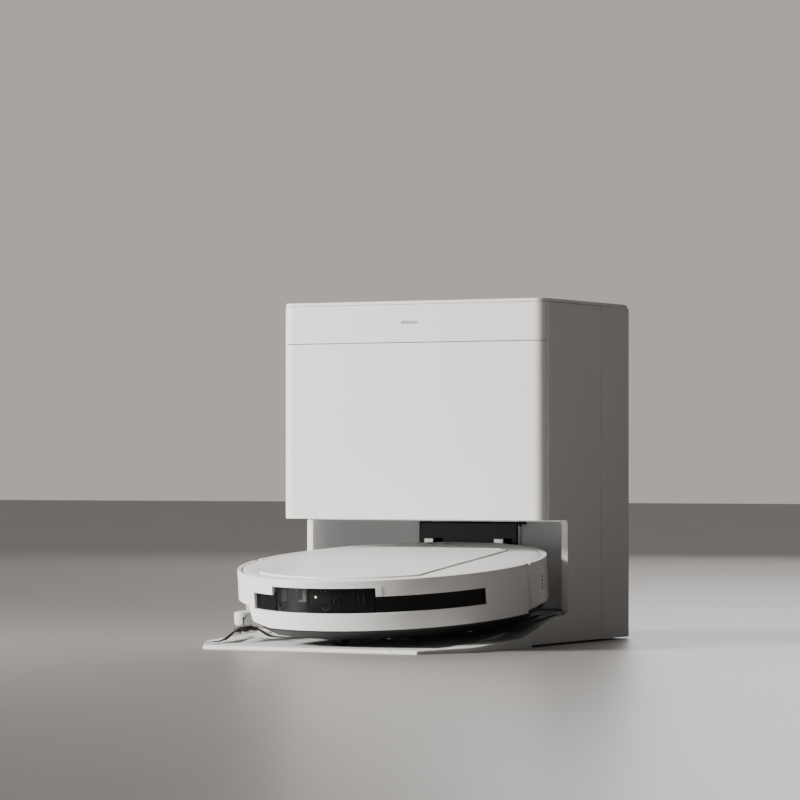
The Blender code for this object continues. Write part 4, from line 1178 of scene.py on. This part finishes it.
def addDustBag():
    pouch = addBlock("dustBag", bag["low"], bag["high"])
    selectFaces(pouch, lambda face: True)
    bpy.ops.mesh.subdivide(number_cuts=bag["cuts"])
    endEdit()
    swellBag(pouch)
    applyModifier(pouch, "SUBSURF", levels=1, render_levels=1)
    smoothShade(pouch)
    wear(pouch, "paper", "station", "filter_paper")
    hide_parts("dust_bag")
    x, y = [(bag["low"][axis] + bag["high"][axis]) / 2 for axis in (0, 1)]
    wide, deep, thick = bag["collar"]
    plate = addBlock("bagCollar", (x - wide / 2, y - deep / 2, 150.3),
                     (x + wide / 2, y + deep / 2, 150.3 + thick))
    bevelEdges(plate, lambda a, b: abs(a.z - b.z) > 1e-4, 6, 5)
    neck = addRod("bagNeck", bag["neck"][0], bag["neck"][1], (x, y, 151 + bag["neck"][1] / 2), vertices=56)
    for piece in (plate, neck):
        cutWith(piece, addRod("bagHole", bag["hole"], 40, (x, y, 156), vertices=56))
        roundEdges(piece, 0.4 * mm, 2)
    collar = joinPieces("bagCollar", [plate, neck])
    wear(collar, "linerGrey", "station", "filter_paper")
    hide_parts("dust_bag")


exhaustFilter = {"low": (-59.7, 52.3, 48.3), "high": (59.7, 61.7, 75.3), "rim": 2.6, "folds": 37, "fold": 2.8}


def addFilter():
    low, high, rim = exhaustFilter["low"], exhaustFilter["high"], exhaustFilter["rim"]
    holder = addBlock("filterFrame", low, high)
    gap = addBlock("filterGap", (low[0] + rim, 40, low[2] + rim), (high[0] - rim, 70, high[2] - rim))
    cutWith(holder, gap)
    roundEdges(holder, 0.4 * mm, 2)
    wear(seatOnRobot(holder), "midGrey", "robot", "filter_paper")
    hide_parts("dust_filter")
    pleats = addBlock("filterPleats", (low[0] + rim - 0.3, 54.6, low[2] + rim - 0.3),
                      (high[0] - rim + 0.3, 56.8, high[2] - rim + 0.3))
    left = min(corner.co.x for corner in pleats.data.vertices)
    step = (max(corner.co.x for corner in pleats.data.vertices) - left) / (exhaustFilter["folds"] + 1)
    selectEdges(pleats, lambda a, b: abs(a.x - b.x) > 0.01)
    bpy.ops.mesh.subdivide(number_cuts=exhaustFilter["folds"])
    endEdit()
    for corner in pleats.data.vertices:
        if round((corner.co.x - left) / step) % 2:
            corner.co.y += exhaustFilter["fold"] * mm
    wear(seatOnRobot(pleats), "paper", "robot", "filter_paper")
    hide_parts("dust_filter")
    print("dust bag and filter made")


addSensors()
addCornerBrush()
addTopDetails()
addWheels()
addRoller()
addMops()
addDockDetails()
addHullDetails()
addUnderDetails()
addDustBag()
addFilter()

# ---- frame shapes that stay, with their finishes

kept = {
    "matteBlack": ["brush_guard", "caster_fork", "mop_lift_bar", "dust_fan", "power_supply", "water_pump",
                   "power_inlet", "dust_duct", "clean_tank_cap", "dirty_tank_cap", "battery", "suction_motor",
                   "wheel_module_left", "wheel_module_right", "sensor_bay"],
    "linerGrey": ["inner_frame"],
    "midGrey": ["status_light"],
    "glossBlack": ["docking_window", "bumper_window"],
    "rubber": ["foot_front", "foot_rear", "caster_wheel"],
    "steel": ["charge_contact_left", "charge_contact_right", "lid_hinge_pin", "caster_bush"],
    "tank": ["clean_tank", "dirty_tank", "dust_bin"],
    "board": ["main_board"],
}
for key, names in kept.items():
    for node in names:
        paint(nodes[node], key)
print("kept nodes painted")
